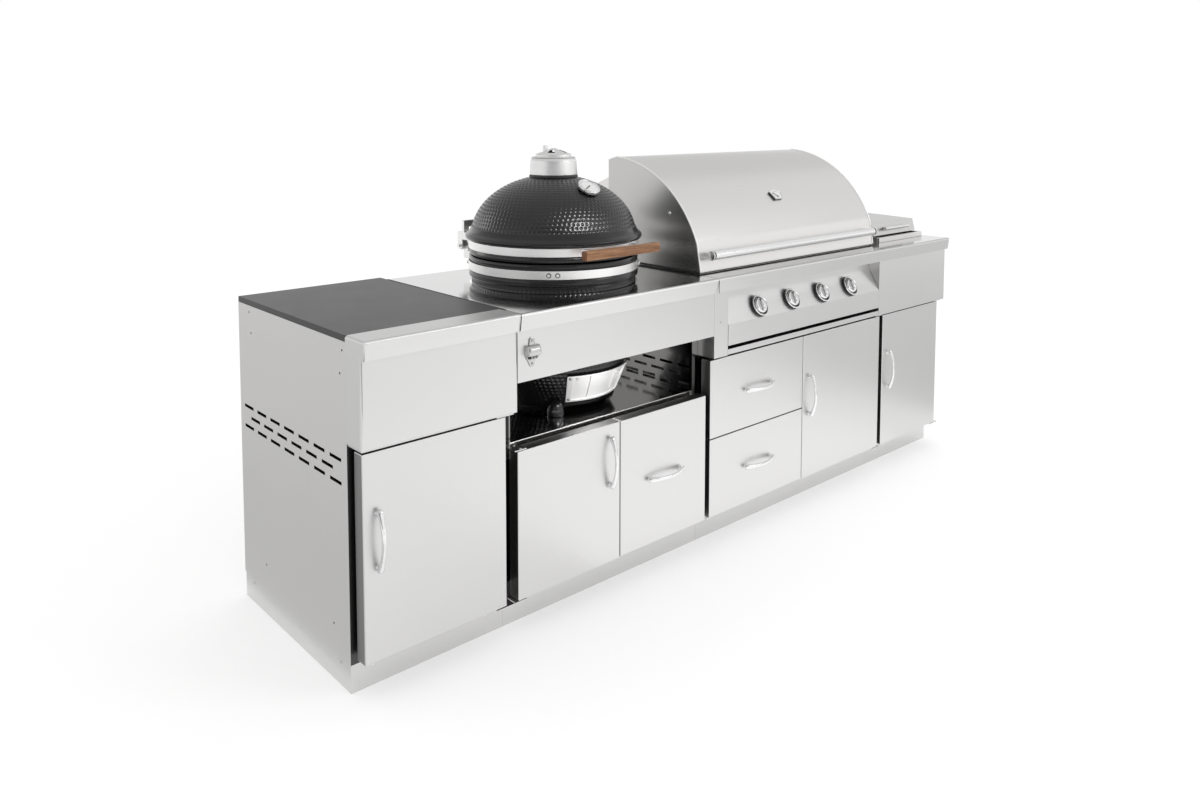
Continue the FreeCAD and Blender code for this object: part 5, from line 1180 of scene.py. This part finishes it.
# %% Side lid grip
lid_low, lid_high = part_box("side_lid")
grip_x = (lid_low[0] + lid_high[0])/2/mm
grip_y, grip_z = lid_low[1]/mm + 6.0, lid_low[2]/mm + 27.0
grip_half, grip_radius = 92.0, 6.9
grip_line = fillet([(1, -grip_half), (grip_radius, -grip_half), (grip_radius, grip_half), (1, grip_half)], 2)
grip = turned(grip_line, (grip_x, grip_y, grip_z), (1, 0, 0), 32)
skin("side_lid_grip", grip, "side_lid", chrome, stands=False)
print("grip at", round(grip_x), round(grip_y), round(grip_z))

# %% [markdown]
# ## The studio
# The floor and the room are white. The floor is a real surface that takes the shadow, lifted a little for
# camera and mirror rays so that it meets the white room. A backdrop that curves up could do the same, but it
# would show in the steel.

# %% Room and floor
def flat(x0, x1, y0, y1, z):
    """Corners of a level rectangle, in metres."""
    return [(x0, y0, z), (x1, y0, z), (x1, y1, z), (x0, y1, z)]


def seen(wire):
    """1 for rays from the camera, and from mirrors and glass."""
    kinds = ("Is Camera Ray", "Is Glossy Ray", "Is Transmission Ray")
    straight, mirrored, through = [wire.node("LightPath", output=kind) for kind in kinds]
    return (straight + mirrored + through).clamp()


room_level = 0.80
world = bpy.data.worlds.new("room")
scene.world = world
world.use_nodes = True
blank = Wire(world.node_tree)
room = world.node_tree.nodes["Background"]
blank.tree.links.new((seen(blank)*(1 - room_level) + room_level).socket, room.inputs["Strength"])
room.inputs["Color"].default_value = grey(1.0)

floor_size = 40.0
floor_mesh = bpy.data.meshes.new("floor")
half = floor_size/2
floor_mesh.from_pydata(flat(-half, half, -half, half, 0), [], [(0, 1, 2, 3)])
floor = bpy.data.objects.new("floor", floor_mesh)
scene.collection.objects.link(floor)
floor_paint = bpy.data.materials.new("white_floor")
floor_paint.use_nodes = True
net = floor_paint.node_tree
blank = Wire(net)
white = blank.node("BsdfDiffuse", {"Color": grey(0.86)})
floor_lift = 0.34
lift = blank.node("Emission", {"Color": grey(1.0), "Strength": seen(blank)*floor_lift})
both = blank.node("AddShader", {0: white, 1: lift})
net.links.new(both.socket, net.nodes["Material Output"].inputs["Surface"])
floor_mesh.materials.append(floor_paint)
print("floor", floor_size, "m wide")

# %% [markdown]
# ## Cards and the key lamp
# A lamp alone could not shade the steel, because steel shows only what stands around it. So grey cards that
# only mirrors see lie on the floor, hang above the row and stand behind the camera, as a product photographer
# sets them out, and one broad lamp lights the row a little from the right.

# %% Key lamp
def lamp(name, place, target, size, watts):
    """A soft lamp at a place, turned to a target, its sides in metres."""
    data = bpy.data.lights.new(name, "AREA")
    data.shape = "RECTANGLE"
    data.size = size[0]
    data.size_y = size[1]
    data.energy = watts
    obj = bpy.data.objects.new(name, data)
    obj.location = place
    obj.rotation_euler = (Vector(target) - Vector(place)).to_track_quat("-Z", "Y").to_euler()
    obj.visible_camera = False
    scene.collection.objects.link(obj)
    return obj


key = lamp("key", (2.2, -4.2, 3.4), (0, 0, 0.7), (2.4, 1.8), 40)
print("key lamp of", key.data.energy, "W")

# %% Cards
def card(name, corners, level):
    """A flat card that only mirrors see: its corners in metres, and how bright it looks."""
    mesh = bpy.data.meshes.new(name)
    mesh.from_pydata(corners, [], [(0, 1, 2, 3)])
    obj = bpy.data.objects.new(name, mesh)
    scene.collection.objects.link(obj)
    obj.visible_camera = False
    obj.visible_shadow = False
    obj.visible_diffuse = False
    paint = bpy.data.materials.new(name + "_paint")
    paint.use_nodes = True
    blank = Wire(paint.node_tree)
    glow = blank.node("Emission", {"Color": grey(1.0), "Strength": level})
    paint.node_tree.links.new(glow.socket, paint.node_tree.nodes["Material Output"].inputs["Surface"])
    mesh.materials.append(paint)


near_floor, on_near_floor = 0.003, 0.004
card("left_floor_card", flat(-6, -1.45, -1.2, 7, near_floor), 0.72)
card("left_near_card", flat(-1.95, -1.42, -1.2, 2, on_near_floor), 0.64)
card("right_floor_card", flat(1.75, 7, -4, -0.5, near_floor), 0.70)
card("middle_floor_card", flat(-0.5, 1.3, -3, -0.45, near_floor), 1.18)
card("end_floor_card", flat(-0.7, 0.9, -5, -2.3, on_near_floor), 0.90)
card("ceiling_card", flat(-8, 8, -8, 8, 3.2), 0.68)
card("right_softbox", flat(1.2, 6.5, -4, 0.4, 3.1), 0.82)
dark_low, dark_high = 0.3, 3.0
card("dark_card", [(-5.2, -1.6, dark_low), (-1.4, -5.2, dark_low), (-1.4, -5.2, dark_high),
                   (-5.2, -1.6, dark_high)], 0.36)

# %% [markdown]
# ## Lamps for single pieces
# A key lamp lights everything a little. The glaze, the draft plate and the worktop's nosing each need a
# glint of their own, and a lamp for one would spoil the rest. Light linking lets a lamp reach only the
# pieces in a collection, so every such lamp has a collection of the pieces it may light.

# %% Linked lamps
def lights_only(lamps, group, names):
    """Lets lamps light only the named pieces."""
    pieces = bpy.data.collections.new(group)
    for name in names:
        pieces.objects.link(bpy.data.objects[name])
    for light in lamps:
        light.light_linking.receiver_collection = pieces


dome_middle = (-0.52, -0.02, 1.08)
sparkle = lamp("sparkle", (-0.5, -3.0, 2.9), dome_middle, (1.3, 0.9), 80)
rim_light = lamp("rim_light", (-2.4, 3.6, 2.4), dome_middle, (1.4, 3.0), 20)
bay_light = lamp("bay_light", (-0.66, -0.34, 0.550), (-0.56, -0.2, 0.62), (0.5, 0.03), 0.08)
plate_light = lamp("plate_light", (0.1, -1.9, 0.35), (-0.5, -0.25, 0.6), (1.2, 0.6), 31)
edge_light = lamp("edge_light", (1.5, -3.2, 3.4), (0, -0.37, 0.9), (6.0, 0.5), 60)
lights_only((sparkle, rim_light, bay_light), "glazed", ("dome_clay", "bowl_clay", "clay_feet"))
lights_only((plate_light,), "draft", ("draft_frame_eased", "draft_door_eased"))
lights_only((edge_light,), "nosed", ("end_front_eased", "kamado_worktop_eased", "grill_worktop_eased"))

# %% [markdown]
# ## Colours as they are
# A view transform made for films would grey the white studio, so colours go into the picture unchanged.

# %% Colour management
scene.view_settings.view_transform = "Standard"
print("view transform:", scene.view_settings.view_transform)
